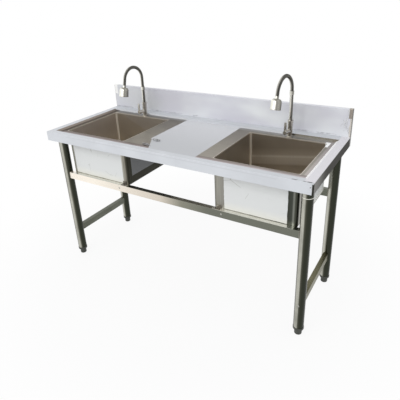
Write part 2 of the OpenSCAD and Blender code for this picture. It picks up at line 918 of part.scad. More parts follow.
module tailpiece(side) {
    color(tap_steel)
        translate([side * bowl_x, bowl_y, outlet_bottom_z]) {
            translate([0, 0, -tailpiece_length])
                tube(tailpiece_radius, tailpiece_radius - tailpiece_wall, tailpiece_length);
            translate([0, 0, -strainer_wall])
                tube(outlet_radius, tailpiece_radius - tailpiece_wall, strainer_wall);
            translate([0, 0, -strainer_wall - tailpiece_neck])
                tube(tailpiece_radius + tailpiece_neck_extra, tailpiece_radius - tailpiece_wall,
                    tailpiece_neck);
        }
}

module tailpiece_nuts() {
    lip = tailpiece_nut_lip;
    bore = outlet_radius + fit_gap;
    color(tap_steel)
        for (side = [-1, 1])
            translate([side * bowl_x, bowl_y, outlet_bottom_z - strainer_wall - lip])
                difference() {
                    cylinder(h = tailpiece_nut_height, r = bore + tailpiece_nut_wall);
                    translate([0, 0, -over])
                        cylinder(h = tailpiece_nut_height,
                            r = tailpiece_radius + tailpiece_neck_extra + fit_gap);
                    translate([0, 0, lip])
                        cylinder(h = tailpiece_nut_height, r = bore);
                }
}

// Taps

module tap_place(tap) {
    translate([tap_x(tap), tap_y, 0])
        children();
}

// Frame of a valve: +Z along its barrel, +X up
module valve_place(tap) {
    tap_place(tap)
        translate([0, 0, valve_z])
            rotate([0, 0, 180 + valve_turn(tap)])
                rotate([0, 90, 0])
                    mirror([1, 0, 0])
                        children();
}

// Frame of a spout: its neck arches towards -Y, from the top of the column
module spout_place(tap) {
    tap_place(tap)
        translate([0, 0, deck_z + column_height(tap)])
            rotate([0, 0, -rest_swing])
                children();
}

// Frame of a spray head: +Z down along its axis, from the end of the neck
module head_place(tap) {
    end = neck_point(tap, neck_length(tap));
    spout_place(tap)
        translate([0, -end[0], end[1]])
            rotate([arch_sweep, 0, 0])
                children();
}

module tap_base_ring(tap) {
    color(tap_steel)
        tap_place(tap)
            translate([0, 0, deck_z])
                tube(base_ring_diameter / 2, shank_radius + fit_gap, base_ring_thickness);
}

module tap_body(tap) {
    seat_z = deck_z + base_ring_thickness;
    color(tap_steel)
        difference() {
            union() {
                tap_place(tap) {
                    translate([0, 0, seat_z])
                        cylinder(h = body_top_z - seat_z, r = body_diameter / 2);
                    translate([0, 0, body_top_z - body_collar_height])
                        cylinder(h = body_collar_height, r = body_collar_diameter / 2);
                    translate([0, 0, deck_z - shank_length])
                        cylinder(h = shank_length + base_ring_thickness + over, r = shank_radius);
                }
                valve_place(tap)
                    cylinder(h = barrel_length, r = barrel_diameter / 2);
            }
            tap_place(tap) {
                translate([0, 0, deck_z - shank_length - over])
                    cylinder(h = shank_length + body_height + 2 * over, r = water_radius);
                translate([0, 0, lock_nut_z - shank_relief_width])
                    tube(shank_radius + over, shank_radius - shank_relief, shank_relief_width);
                translate([0, 0, body_top_z - column_socket - running_gap])
                    cylinder(h = column_socket + over, r = column_radius + running_gap);
            }
            valve_place(tap)
                translate([0, 0, barrel_length - cartridge_length])
                    cylinder(h = cartridge_length + over, r = cartridge_radius + running_gap);
        }
}

module tap_cartridge(tap) {
    color(rubber_black)
        valve_place(tap)
            translate([0, 0, barrel_length - cartridge_length])
                difference() {
                    cylinder(h = cartridge_length, r = cartridge_radius);
                    translate([0, 0, cartridge_length - stem_length - hub_gap])
                        cylinder(h = stem_length + hub_gap + over, r = stem_radius + running_gap);
                }
}

module tap_lever(tap) {
    round = lever_width / 2;
    color(tap_steel)
        valve_place(tap)
            translate([0, 0, barrel_length + hub_gap]) {
                cylinder(h = hub_thickness, r = hub_diameter / 2);
                translate([0, 0, -stem_length])
                    cylinder(h = stem_length + over, r = stem_radius);
                translate([0, -round, (hub_thickness - lever_thickness) / 2])
                    cube([lever_length - round, lever_width, lever_thickness]);
                translate([lever_length - round, 0, (hub_thickness - lever_thickness) / 2])
                    cylinder(h = lever_thickness, r = round);
            }
}

module tap_column(tap) {
    bottom = body_top_z - column_socket;
    color(tap_steel)
        tap_place(tap)
            translate([0, 0, bottom])
                tube(column_radius, water_radius, deck_z + column_height(tap) - bottom);
}

module tap_neck(tap) {
    outer_rings = 2 * neck_ribs + 1;
    length = neck_length(tap);
    points = concat(
        [for (k = [0 : outer_rings - 1])
            each neck_ring(tap, length * k / (outer_rings - 1),
                k % 2 == 1 ? neck_radius : neck_radius - rib_depth)],
        [for (k = [0 : bore_rings])
            each neck_ring(tap, length * k / bore_rings, bore_radius)]);
    inner = outer_rings * neck_sides;
    last_outer = (outer_rings - 1) * neck_sides;
    last_inner = inner + bore_rings * neck_sides;
    faces = concat(
        [for (k = [0 : outer_rings - 2], i = [0 : neck_sides - 1])
            let (j = (i + 1) % neck_sides, a = k * neck_sides, b = a + neck_sides)
            each [[a + i, a + j, b + i], [a + j, b + j, b + i]]],
        [for (k = [0 : bore_rings - 1], i = [0 : neck_sides - 1])
            let (j = (i + 1) % neck_sides, a = inner + k * neck_sides, b = a + neck_sides)
            each [[a + i, b + i, a + j], [a + j, b + i, b + j]]],
        [for (i = [0 : neck_sides - 1])
            let (j = (i + 1) % neck_sides)
            each [[i, inner + i, j], [j, inner + i, inner + j],
                [last_outer + i, last_outer + j, last_inner + i],
                [last_outer + j, last_inner + j, last_inner + i]]]);
    color(leg_steel)
        spout_place(tap)
            polyhedron(points, faces);
}

module neck_fittings(tap) {
    color(tap_steel) {
        // Ferrule round the top of the column and the foot of the neck
        spout_place(tap)
            translate([0, 0, -ferrule_over_column])
                difference() {
                    cylinder(h = ferrule_over_column + ferrule_over_neck, r = ferrule_diameter / 2);
                    translate([0, 0, -over])
                        cylinder(h = ferrule_over_column + over, r = column_radius + hole_gap);
                    cylinder(h = ferrule_over_column + ferrule_over_neck + over, r = neck_radius + fit_gap);
                }
        // Fitting with the spigot that the spray head turns on
        head_place(tap)
            difference() {
                union() {
                    cylinder(h = fitting_length, r = fitting_diameter / 2);
                    cylinder(h = fitting_length + spigot_length, r = spigot_radius);
                }
                translate([0, 0, -over])
                    cylinder(h = fitting_length + spigot_length + 2 * over, r = spigot_bore / 2);
            }
    }
}

// Half outline of a spray head, inset by wall, from its crown down to its mouth
function head_outline(wall) =
    let (crown = head_crown / 2, flare = head_diameter / 2 - mouth_bevel - wall)
    concat([[0, wall]],
        [for (i = [0 : 9])
            let (a = 10 * i)
            [crown - wall + (flare - crown + wall) * sin(a),
             wall + (head_shoulder - wall) * (1 - cos(a))]],
        [[head_diameter / 2 - wall, head_length - mouth_band],
         [head_diameter / 2 - wall - (wall > 0 ? 0 : mouth_bevel), head_length],
         [0, head_length]]);

module spray_head(tap) {
    color(tap_steel)
        head_place(tap)
            translate([0, 0, fitting_length + foot_gap])
                difference() {
                    rotate_extrude()
                        polygon(head_outline(0));
                    intersection() {
                        rotate_extrude()
                            polygon(head_outline(head_wall));
                        translate([0, 0, spigot_length + head_wall])
                            cylinder(h = head_length, r = head_diameter);
                    }
                    translate([0, 0, head_length - spray_plate_inset - over])
                        cylinder(h = spray_plate_inset + 2 * over, r = head_diameter / 2 - head_wall);
                    translate([0, 0, -over])
                        cylinder(h = head_length / 2, r = spigot_radius + running_gap);
                }
}

module spray_plate(tap) {
    radius = head_diameter / 2 - head_wall - hole_gap;
    color(dark_foot)
        head_place(tap)
            translate([0, 0, fitting_length + foot_gap + head_length
                    - spray_plate_inset - spray_plate_thickness])
                difference() {
                    cylinder(h = spray_plate_thickness, r = radius);
                    for (ring = [1 : 3], i = [0 : 6 * ring - 1])
                        rotate([0, 0, 60 * i / ring])
                            translate([ring * dimple_spacing, 0, spray_plate_thickness - dimple_depth])
                                cylinder(h = dimple_depth + over, r = dimple_radius);
                }
}

module tap_lock_nuts() {
    color(steel)
        for (tap = [LEFT_TAP, RIGHT_TAP])
            tap_place(tap)
                translate([0, 0, lock_nut_z])
                    difference() {
                        union() {
                            cylinder(h = lock_nut_height, r = lock_nut_width / sqrt(3), $fn = 6);
                            translate([0, 0, lock_nut_height])
                                cylinder(h = lock_washer, r = lock_nut_width / sqrt(3));
                        }
                        translate([0, 0, -over])
                            cylinder(h = lock_nut_height + lock_washer + 2 * over,
                                r = shank_radius + running_gap);
                    }
}

top_panel();
backsplash();
splash_cap(-1);  // splash_cap_left
splash_cap(1);  // splash_cap_right
deck_stiffeners();
bowl(-1);  // bowl_left
bowl(1);  // bowl_right
bowl_clips();
leg_socket(-1, -1);  // leg_socket_front_left
leg_socket(1, -1);  // leg_socket_front_right
leg_socket(-1, 1);  // leg_socket_rear_left
leg_socket(1, 1);  // leg_socket_rear_right
leg(-1, -1);  // leg_front_left
leg(1, -1);  // leg_front_right
leg(-1, 1);  // leg_rear_left
leg(1, 1);  // leg_rear_right
foot_collar(-1, -1);  // foot_collar_front_left
foot_collar(1, -1);  // foot_collar_front_right
foot_collar(-1, 1);  // foot_collar_rear_left
foot_collar(1, 1);  // foot_collar_rear_right
foot(-1, -1);  // foot_front_left
foot(1, -1);  // foot_front_right
foot(-1, 1);  // foot_rear_left
foot(1, 1);  // foot_rear_right
long_beam(-1);  // front_beam
long_beam(1);  // rear_beam
side_beam(-1);  // side_beam_left
side_beam(1);  // side_beam_right
frame_screws();
strainer_body(-1);  // strainer_body_left
strainer_body(1);  // strainer_body_right
strainer_washer(-1);  // strainer_washer_left
strainer_washer(1);  // strainer_washer_right
strainer_nut(-1);  // strainer_nut_left
strainer_nut(1);  // strainer_nut_right
strainer_basket(-1);  // strainer_basket_left
strainer_basket(1);  // strainer_basket_right
tailpiece(-1);  // tailpiece_left
tailpiece(1);  // tailpiece_right
tailpiece_nuts();
tap_base_ring(LEFT_TAP);  // tap_base_ring_left
tap_base_ring(RIGHT_TAP);  // tap_base_ring_right
tap_body(LEFT_TAP);  // tap_body_left
tap_body(RIGHT_TAP);  // tap_body_right
tap_cartridge(LEFT_TAP);  // tap_cartridge_left
tap_cartridge(RIGHT_TAP);  // tap_cartridge_right
tap_lever(LEFT_TAP);  // tap_lever_left
tap_lever(RIGHT_TAP);  // tap_lever_right
tap_column(LEFT_TAP);  // tap_column_left
tap_column(RIGHT_TAP);  // tap_column_right
tap_neck(LEFT_TAP);  // tap_neck_left
tap_neck(RIGHT_TAP);  // tap_neck_right
neck_fittings(LEFT_TAP);  // neck_fittings_left
neck_fittings(RIGHT_TAP);  // neck_fittings_right
spray_head(LEFT_TAP);  // spray_head_left
spray_head(RIGHT_TAP);  // spray_head_right
spray_plate(LEFT_TAP);  // spray_plate_left
spray_plate(RIGHT_TAP);  // spray_plate_right
tap_lock_nuts();
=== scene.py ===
"""Looks of a commercial double bowl sink table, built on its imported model. Metres, front towards -Y."""
import math

import bmesh
import bpy
from mathutils import Matrix, Vector


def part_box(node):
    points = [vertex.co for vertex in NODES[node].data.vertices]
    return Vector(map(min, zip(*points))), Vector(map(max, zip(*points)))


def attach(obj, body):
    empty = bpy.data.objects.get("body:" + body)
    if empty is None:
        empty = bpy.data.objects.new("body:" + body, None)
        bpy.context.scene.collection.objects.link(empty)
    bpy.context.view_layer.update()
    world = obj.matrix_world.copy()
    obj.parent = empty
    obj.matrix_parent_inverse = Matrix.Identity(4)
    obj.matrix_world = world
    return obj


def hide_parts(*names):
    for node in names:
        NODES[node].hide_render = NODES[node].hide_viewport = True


bl_info = {
    "name": "Double Bowl Sink Table",
    "version": (1, 1, 0),
    "blender": (4, 5, 0),
    "location": "View3D > Sidebar > Sink Table",
    "description": "Finishes and small parts of a folded steel sink table",
    "category": "Object",
}

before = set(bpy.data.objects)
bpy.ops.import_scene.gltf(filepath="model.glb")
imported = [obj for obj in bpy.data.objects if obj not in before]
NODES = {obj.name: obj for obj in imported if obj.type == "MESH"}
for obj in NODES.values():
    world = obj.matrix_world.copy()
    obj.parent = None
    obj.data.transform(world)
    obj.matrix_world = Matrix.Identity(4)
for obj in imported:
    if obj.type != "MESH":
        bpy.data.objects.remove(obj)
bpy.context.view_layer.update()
SIDES = ("left", "right")
CORNERS = ("front_left", "front_right", "rear_left", "rear_right")
MM = 0.001

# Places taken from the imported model
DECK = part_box("tap_base_ring_left")[0].z
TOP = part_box("top_panel")[1].z
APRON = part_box("top_panel")[0].z
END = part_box("top_panel")[1].x
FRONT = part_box("top_panel")[0].y
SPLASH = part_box("splash_cap_left")[0].y
SPLASH_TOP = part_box("backsplash")[1].z
BOWL_LOW, BOWL_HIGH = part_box("bowl_right")
BEAM_LOW, BEAM_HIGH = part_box("front_beam")

# Sizes repeated from the part's source
END_RIM, FRONT_RIM, SLOPE = 38 * MM, 36 * MM, 10 * MM
FLANGE = 6 * MM
DECK_BACK = 0.2238
INNER, RIM = END - END_RIM, FRONT + FRONT_RIM  # Where the rims at the ends and at the front meet their slopes
LOW, HIGH = DECK - 3 * MM, TOP + 3 * MM  # Heights that take in the deck and the rims
# The smooth arches start 0.8 mm lower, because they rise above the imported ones, which have flat sides
NECK_ARCH = {"left": (64.2 * MM, 69 * MM, 37 * MM), "right": (16.2 * MM, 78 * MM, 17 * MM)}
NECK_SWEEP, NECK_SWING = math.radians(167), math.radians(5)
NECK_RADIUS, NECK_BORE = 9 * MM, 6 * MM

# Reflections on the rear wall of each bowl: how far they lean, where they run and over which height they spread,
# then their colours from the lowest to the highest
BOWL_WEDGE = {"left": (0.47, 0.521, 0.05), "right": (-0.15, 0.642, 0.12)}
BOWL_BACK = {"left": ((0.0, "#C2B7A6"), (0.44, "#C2B7A6"), (0.54, "#CBC3B8"), (1.0, "#C6BFB5")),
             "right": ((0.0, "#B0A38F"), (0.29, "#AA9D89"), (0.34, "#D6CCBC"), (0.47, "#E4DBCB"), (0.50, "#FBF4E6"),
                       (0.55, "#D0C5B3"), (0.70, "#AA9E8C"), (1.0, "#A09483"))}

# Bare steel across the front of each bowl, from its left edge to its right one, with painted reflections in pale
# bands and painted shade darkest at the right edge; the right bowl also has one painted bright streak near that edge
BOWL_SKIN_REFLECTIONS = {"left": ((0.0, "#8C8B80"), (0.03, "#B9B8AB"), (0.07, "#A9A89B"), (0.93, "#B9B6AB"),
                      (0.965, "#8C887D"), (0.985, "#45443B"), (1.0, "#33322A")),
             "right": ((0.0, "#7D7C73"), (0.06, "#A3A198"), (0.12, "#93918A"), (0.88, "#3E4039"), (0.935, "#474A44"),
                       (0.952, "#8E9088"), (0.966, "#4A4C44"), (1.0, "#33342C"))}

# How the nodes below are set
SOFT = {"interpolation_type": "SMOOTHSTEP"}
COLOUR = {"data_type": "RGBA"}
TIMES = {"operation": "MULTIPLY"}
LARGER = {"operation": "MAXIMUM"}


# Colours and nodes

def linear(code):
    """The linear colour of an sRGB hex value."""
    parts = [int(code[i:i + 2], 16) / 255 for i in (1, 3, 5)]
    return [p / 12.92 if p <= 0.04045 else ((p + 0.055) / 1.055) ** 2.4 for p in parts] + [1.0]


def add(tree, kind, inputs=(), stops=(), **settings):
    """Adds a shader node and gives its outputs. An input is a value or another node's output."""
    made = tree.nodes.new("ShaderNode" + kind)
    for name, value in settings.items():
        setattr(made, name, value)
    for place, value in inputs.items() if isinstance(inputs, dict) else enumerate(inputs):
        if isinstance(value, bpy.types.NodeSocket):
            tree.links.new(value, made.inputs[place])
        else:
            made.inputs[place].default_value = value
    for count, (at, code) in enumerate(stops):
        ramp = made.color_ramp.elements
        stop = ramp[count] if count < 2 else ramp.new(at)
        stop.position, stop.color = at, linear(code)
    return made.outputs


def begin(name):
    """A new material, its tree and the place on the object in metres."""
    made = bpy.data.materials.new(name)
    made.use_nodes = True
    made.node_tree.nodes.clear()
    return made, made.node_tree, add(made.node_tree, "TexCoord")["Object"]


def finish(made, **inputs):
    """Ends a material in one principled shader. Names with _ stand for those with spaces."""
    tree = made.node_tree
    shader = add(tree, "BsdfPrincipled", {k.replace("_", " "): v for k, v in inputs.items()})
    add(tree, "OutputMaterial", {"Surface": shader[0]})
    return made


# Patterns of this object's finishes

def grain(tree, place, cell, detail=3.0, stretch=(1, 1, 1)):
    """Noise with cells of that size in metres, longer along an axis with a small stretch."""
    mapped = add(tree, "Mapping", {"Vector": place, "Scale": stretch})
    return add(tree, "TexNoise", {"Vector": mapped[0], "Scale": 1 / cell, "Detail": detail})["Fac"]


def brush(tree, place, stretch, line=1.6 * MM):
    """Lines of a brushed surface. Real ones are 0.1 mm apart and are drawn 1.6 mm apart to show."""
    return grain(tree, place, line, 2.0, stretch)


def between(tree, pattern, span, first, second):
    """Two colours blended by a pattern: the first below its span and the second above it."""
    share = add(tree, "MapRange", (pattern, span[0], span[1], 0.0, 1.0), **SOFT)
    ends = [linear(c) if isinstance(c, str) else c for c in (first, second)]
    return add(tree, "Mix", {0: share[0], 6: ends[0], 7: ends[1]}, **COLOUR)[2]


def over(tree, mask, under, paint):
    """A colour laid over another one where a mask is 1."""
    return between(tree, mask, (0, 1), under, paint)


def zone(tree, place, low, high, soft=MM, ragged=None):
    """1 inside a box and 0 outside it, with an edge that may be ragged. A side that is set 1 m off is open."""
    middle = [(a + b) / 2 for a, b in zip(low, high)]
    half = [(b - a) / 2 for a, b in zip(low, high)]
    away = add(tree, "VectorMath", (place, middle), operation="SUBTRACT")
    size = add(tree, "VectorMath", (away[0],), operation="ABSOLUTE")
    past = add(tree, "VectorMath", (size[0], half), operation="SUBTRACT")
    part = add(tree, "SeparateXYZ", (past[0],))
    edge = add(tree, "Math", (add(tree, "Math", (part[0], part[1]), **LARGER)[0], part[2]), **LARGER)
    if ragged:
        edge = add(tree, "Math", (edge[0], ragged), operation="ADD")
    return add(tree, "MapRange", (edge[0], -soft, soft, 1.0, 0.0), **SOFT)[0]


def either(tree, *masks):
    """1 where any of the masks is 1."""
    whole = masks[0]
    for mask in masks[1:]:
        whole = add(tree, "Math", (whole, mask), **LARGER)[0]
    return whole


def shared(tree, *masks):
    """1 where all of the masks are 1."""
    whole = masks[0]
    for mask in masks[1:]:
        whole = add(tree, "Math", (whole, mask), **TIMES)[0]
    return whole


def rip(tree, place, cell, reach):
    """An offset in metres that makes an edge of torn film ragged."""
    noise = grain(tree, place, cell, 4.0)
    return add(tree, "MapRange", (noise, 0.0, 1.0, -reach / 2, reach / 2))[0]


def turned_to(tree, degrees):
    """From 0 behind to 1 in front: how far an upright round surface turns to a side of the object."""
    angle = math.radians(degrees)
    normal = add(tree, "TexCoord")["Normal"]
    side = add(tree, "VectorMath", (normal, (math.sin(angle), -math.cos(angle), 0)), operation="DOT_PRODUCT")
    return add(tree, "MapRange", (side["Value"], -1.0, 1.0, 0.0, 1.0))[0]


def round_shade(tree, lines, turn, shade_tones, reach):
    """Painted light and shade round an upright tube, by how far each spot turns to a side, with edges that wander.
    """
    wander = add(tree, "MapRange", (lines, 0.0, 1.0, -reach, reach))[0]
    side = add(tree, "Math", (turned_to(tree, turn), wander), operation="ADD")[0]
    return add(tree, "ValToRGB", (side,), shade_tones)[0]


def relief(tree, height, depth):
    """The normal of a surface whose height runs from 0 to 1 over that depth in metres."""
    return {"Normal": add(tree, "Bump", {"Height": height, "Distance": depth, "Strength": 1.0})[0]}


def surfaced(made, colour, marks, rough, depth, metal=1.0):
    """Ends a material whose lines or specks also set its roughness, between two values, and its relief."""
    tree = made.node_tree
    gloss = add(tree, "MapRange", (marks, 0.2, 0.8, *rough))[0]
    return finish(made, Base_Color=colour, Metallic=metal, Roughness=gloss, **relief(tree, marks, depth))


# Finishes

def brushed_sheet(name, code, dark, stretch=(0.02, 1, 1)):
    """Brushed 304 sheet: a warm grey with soft streaks along the brushing and blurred reflections."""
    made, tree, place = begin(name)
    lines = brush(tree, place, stretch)
    steel = between(tree, lines, (0.25, 0.75), dark, code)
    steel = between(tree, grain(tree, place, 160 * MM), (0.35, 0.8), steel, dark)
    return surfaced(made, steel, lines, (0.28, 0.42), 0.02 * MM)


def torn_panel(tree, place, look, torn):
    """Masks of the top: all bare steel, its step, its end face, its front corner with painted shade and the loose
    white film.
    """
    left = zone(tree, place, (-INNER, RIM, LOW), (look.film_left, DECK_BACK, HIGH), MM, torn)
    right = zone(tree, place, (look.film_right, RIM, LOW), (INNER - SLOPE - look.edge_width, DECK_BACK, HIGH),
                 MM, torn)
    # A corner is torn off beside the left bowl, along a slanting line
    slant = add(tree, "VectorMath", (place, (1, look.torn_slant, 0)), operation="DOT_PRODUCT")["Value"]
    slant = add(tree, "Math", (slant, torn), operation="ADD")[0]
    beyond = add(tree, "MapRange", (slant, look.torn_corner - MM, look.torn_corner + MM, 1.0, 0.0))[0]
    near = zone(tree, place, (look.film_left - 4 * MM, RIM + 2 * MM, LOW), (*look.torn_end, HIGH), 3 * MM)
    bare = either(tree, left, right, shared(tree, beyond, near))
    # Film is left on the step behind the bowls and in a scrap beside the right one
    wall = zone(tree, place, (-INNER, DECK_BACK - 1.2 * MM, DECK + 0.8 * MM), (INNER, SPLASH, HIGH), 0.4 * MM)
    scrap = zone(tree, place, (BOWL_HIGH.x - FLANGE - 12 * MM, look.scrap_ends[0], LOW),
                 (look.scrap_right, look.scrap_ends[1], HIGH), MM, torn)
    bare = add(tree, "Math", (bare, either(tree, wall, scrap)), operation="SUBTRACT", use_clamp=True)[0]
    # Also bare: part of that step, the end face with its front corner, the inside, and dark flecks at the corner,
    # which are painted shadows of curled film
    step = zone(tree, place, (look.step_start, DECK_BACK - 0.5 * MM, DECK), (INNER, DECK_BACK + 0.5 * MM, HIGH),
                0.4 * MM)
    face = zone(tree, place, (END - MM, FRONT - 1, APRON - 1), (END + 1, SPLASH, TOP - 2.5 * MM))
    corner = zone(tree, place, (END - 6 * MM, FRONT - 1, APRON - 1), (END + 1, FRONT + 7 * MM, TOP - 5 * MM),
                  MM, torn)
    inside = zone(tree, place, (-END + MM, FRONT + MM, APRON - 1), (END - MM, SPLASH + 1, DECK - MM),
                  0.3 * MM)
    spots = add(tree, "MapRange", (grain(tree, place, 6 * MM, 4.0), 0.55, 0.6, 0.0, 1.0), **SOFT)[0]
    corner_shade = zone(tree, place, (END - 15 * MM, FRONT - 1, TOP - 26 * MM), (END + 1, FRONT + 9 * MM, HIGH), 3 * MM)
    corner_shade = shared(tree, corner_shade, spots)
    # The fold of the front corner is painted dark too, as shade
    fold_shade = zone(tree, place, (END - 6 * MM, FRONT - 1, APRON - 1), (END + 1, FRONT + 7 * MM, TOP - 3 * MM),
                1.5 * MM, torn)
    face = either(tree, face, corner)
    return either(tree, bare, face, inside, step, corner_shade), step, face, either(tree, corner_shade, fold_shade), scrap


def panel_film(tree, place, look, scrap):
    """Milky film: greyer on the sunk deck as painted shade that lightens towards the back, lilac on the right end
    rim, with a painted white highlight on its edge beside it.
    """
    film = between(tree, grain(tree, place, 140 * MM), (0.3, 0.72), look.film_light, look.film_dark)
    back = add(tree, "SeparateXYZ", (place,))[1]
    # Painted shade on the sunk deck, lighter towards the back
    sunk = zone(tree, place, (-0.6, FRONT, DECK - 3 * MM), (0.6, SPLASH, DECK + 0.8 * MM), 0.5 * MM)
    deck = between(tree, back, (FRONT + 0.1, DECK_BACK), look.deck_film_shade, look.deck_film_lit)
    film = over(tree, sunk, film, deck)
    rim = zone(tree, place, (INNER - 2 * MM, FRONT + 8 * MM, TOP - 1.5 * MM), (END, SPLASH, HIGH), 2 * MM)
    film = over(tree, rim, film, look.film_end)
    # A painted white highlight along the film's edge at the right slope, and on the scrap
    edge = zone(tree, place, (INNER - SLOPE - look.edge_width - 4 * MM, RIM, LOW), (INNER + MM, DECK_BACK, HIGH))
    return over(tree, either(tree, edge, scrap), film, look.film_edge_highlight)


def panel_steel(tree, place, look, lines, step, face, corner_shade):
    """Bare steel with painted reflections and painted shade: darker at the left end and behind the bowls, pinkish on
    the front slope.
    """
    along, back, _ = add(tree, "SeparateXYZ", (place,))
    steel = between(tree, lines, (0.2, 0.8), look.bare_dark, look.bare_light)
    steel = between(tree, back, (DECK_BACK - 40 * MM, DECK_BACK - 6 * MM), steel, look.rear_steel_reflection)
    steel = between(tree, along, (-INNER + 46 * MM, -INNER + 26 * MM), steel, look.left_steel_reflection)
    steel = between(tree, along, (BOWL_HIGH.x + 4 * MM, BOWL_HIGH.x + 10 * MM), steel, look.right_steel_reflection)
    slope = between(tree, along, (0.25, 0.55), look.slope_reflection, look.slope_right_reflection)
    strip = between(tree, back, (RIM + SLOPE + 3 * MM, RIM + SLOPE + 34 * MM), slope, look.strip_reflection)
    front = zone(tree, place, (-INNER + 20 * MM, FRONT, LOW), (INNER, BOWL_LOW.y + FLANGE, HIGH))
    steel = over(tree, front, steel, strip)
    # Painted shade on the bare step behind the right bowl
    steel = over(tree, step, steel, look.step_shade)
    # Cream light in the rounded lips of the two openings
    for side, reach in ((-1, 9 * MM), (1, 3 * MM)):
        ends = sorted((side * (BOWL_LOW.x + FLANGE), side * (BOWL_HIGH.x - FLANGE)))
        lip = zone(tree, place, (ends[0] - 1.5 * MM, BOWL_LOW.y + FLANGE, LOW),
                   (ends[1] + 1.5 * MM, BOWL_HIGH.y - FLANGE + reach, HIGH), 0.6 * MM)
        steel = over(tree, lip, steel, look.lip_highlight_steel)
    # Painted shade on the end face, darker towards the rear
    end = between(tree, back, (FRONT + 0.02, FRONT + 0.2), look.end_front_lit, look.end_rear_shade)
    steel = over(tree, face, steel, end)
    # Painted shade at the front corner: dark flecks and the fold
    return over(tree, corner_shade, steel, look.corner_shade_colour)


def filmed_panel(look):
    """PE film on brushed 304 sheet: milky and bluish, torn back to bare warm steel round the bowls."""
    made, tree, place = begin("pe_film_on_brushed_sheet")
    lines = brush(tree, place, (0.02, 1, 1))
    bare, step, face, corner_shade, scrap = torn_panel(tree, place, look, rip(tree, place, 22 * MM, 4 * MM))
    surface = over(tree, bare, panel_film(tree, place, look, scrap),
                   panel_steel(tree, place, look, lines, step, face, corner_shade))
    streaks = add(tree, "MapRange", (lines, 0.2, 0.8, 0.26, 0.4))[0]
    rough = add(tree, "Mix", {0: bare, 2: 0.38, 3: streaks}, data_type="FLOAT")[0]
    crease = grain(tree, place, 11 * MM, 5.0, (0.3, 1, 1))
    height = add(tree, "Mix", {0: bare, 2: crease, 3: 0.0}, data_type="FLOAT")[0]
    return finish(made, Base_Color=surface, Metallic=bare, Roughness=rough, Specular_Tint=linear(look.edge_tint),
                  **relief(tree, height, 0.25 * MM))


def filmed_splash(look):
    """PE film on the splash: the same milky film with broad soft smudges of painted reflection, torn off at the
    right end.
    """
    made, tree, place = begin("pe_film_on_splash")
    torn = rip(tree, place, 18 * MM, 9 * MM)
    near, far, top = SPLASH - 1, SPLASH + 1, SPLASH_TOP + 1
    wide, tall = look.torn_size
    patch = zone(tree, place, (END - wide, near, SPLASH_TOP - tall), (END + 1, far, top), 1.5 * MM, torn)
    strip = zone(tree, place, (END - look.strip_width, near, TOP - 1), (END + 1, far, top), MM, torn)
    bare = either(tree, patch, strip)
    wide, tall = look.loose_size
    loose = zone(tree, place, (-END - 1, near, SPLASH_TOP - tall), (-END + wide, far, top), 1.5 * MM, torn)
    cloud = grain(tree, place, 260 * MM, 2.0, (0.7, 1, 1.5))
    along, back, _ = add(tree, "SeparateXYZ", (place,))
    # Painted reflections: soft lilac smudges, greyer on the left
    film = between(tree, cloud, (0.36, 0.64), look.splash_light, look.splash_reflection)
    smudge_reflection = between(tree, cloud, (0.36, 0.64), look.splash_left_reflection, look.splash_reflection)
    film = between(tree, along, (-0.42, -0.05), smudge_reflection, film)
    # Painted shade in creases near the right end: broken lines about 1 mm wide, round cells of 14 mm
    crack = add(tree, "TexVoronoi", {"Vector": place, "Scale": 70.0}, feature="DISTANCE_TO_EDGE")["Distance"]
    crack = add(tree, "MapRange", (crack, 0.03, 0.09, 1.0, 0.0))[0]
    upper = zone(tree, place, (END - look.crease_ends[1], near, SPLASH_TOP - look.crease_heights[1]),
                 (END - look.crease_ends[0], SPLASH + 0.4 * MM, SPLASH_TOP - look.crease_heights[0]), 4 * MM, torn)
    broken = add(tree, "MapRange", (grain(tree, place, 9 * MM, 2.0), 0.48, 0.56, 0.0, 1.0), **SOFT)[0]
    film = over(tree, shared(tree, upper, broken, crack), film, look.crease)
    # Painted shade in folds where the film meets the ledge, on the front alone
    foot = zone(tree, place, (-END, SPLASH - 9 * MM, TOP - 9 * MM), (END, SPLASH + 0.5 * MM, TOP + 7 * MM),
                3 * MM, torn)
    ahead = add(tree, "MapRange", (back, SPLASH + 0.4 * MM, SPLASH + 0.8 * MM, 1.0, 0.0))[0]
    foot_shade_patches = add(tree, "MapRange", (grain(tree, place, 30 * MM, 4.0, (0.35, 1, 1)), 0.45, 0.6, 0.0, 0.8), **SOFT)[0]
    film = over(tree, shared(tree, foot, ahead, foot_shade_patches), film, look.splash_foot_shade)
    film = over(tree, loose, film, look.loose_film)
    steel = over(tree, patch, look.torn_light, look.torn_dark)
    surface = over(tree, bare, film, steel)
    crease = grain(tree, place, 12 * MM, 5.0, (0.25, 1, 1))
    height = add(tree, "Mix", {0: bare, 2: crease, 3: 0.0}, data_type="FLOAT")[0]
    return finish(made, Base_Color=surface, Metallic=add(tree, "Math", (bare, 0.9), **TIMES)[0],
                  Roughness=add(tree, "MapRange", (cloud, 0.3, 0.7, 0.32, 0.42))[0],
                  **relief(tree, height, 0.2 * MM))


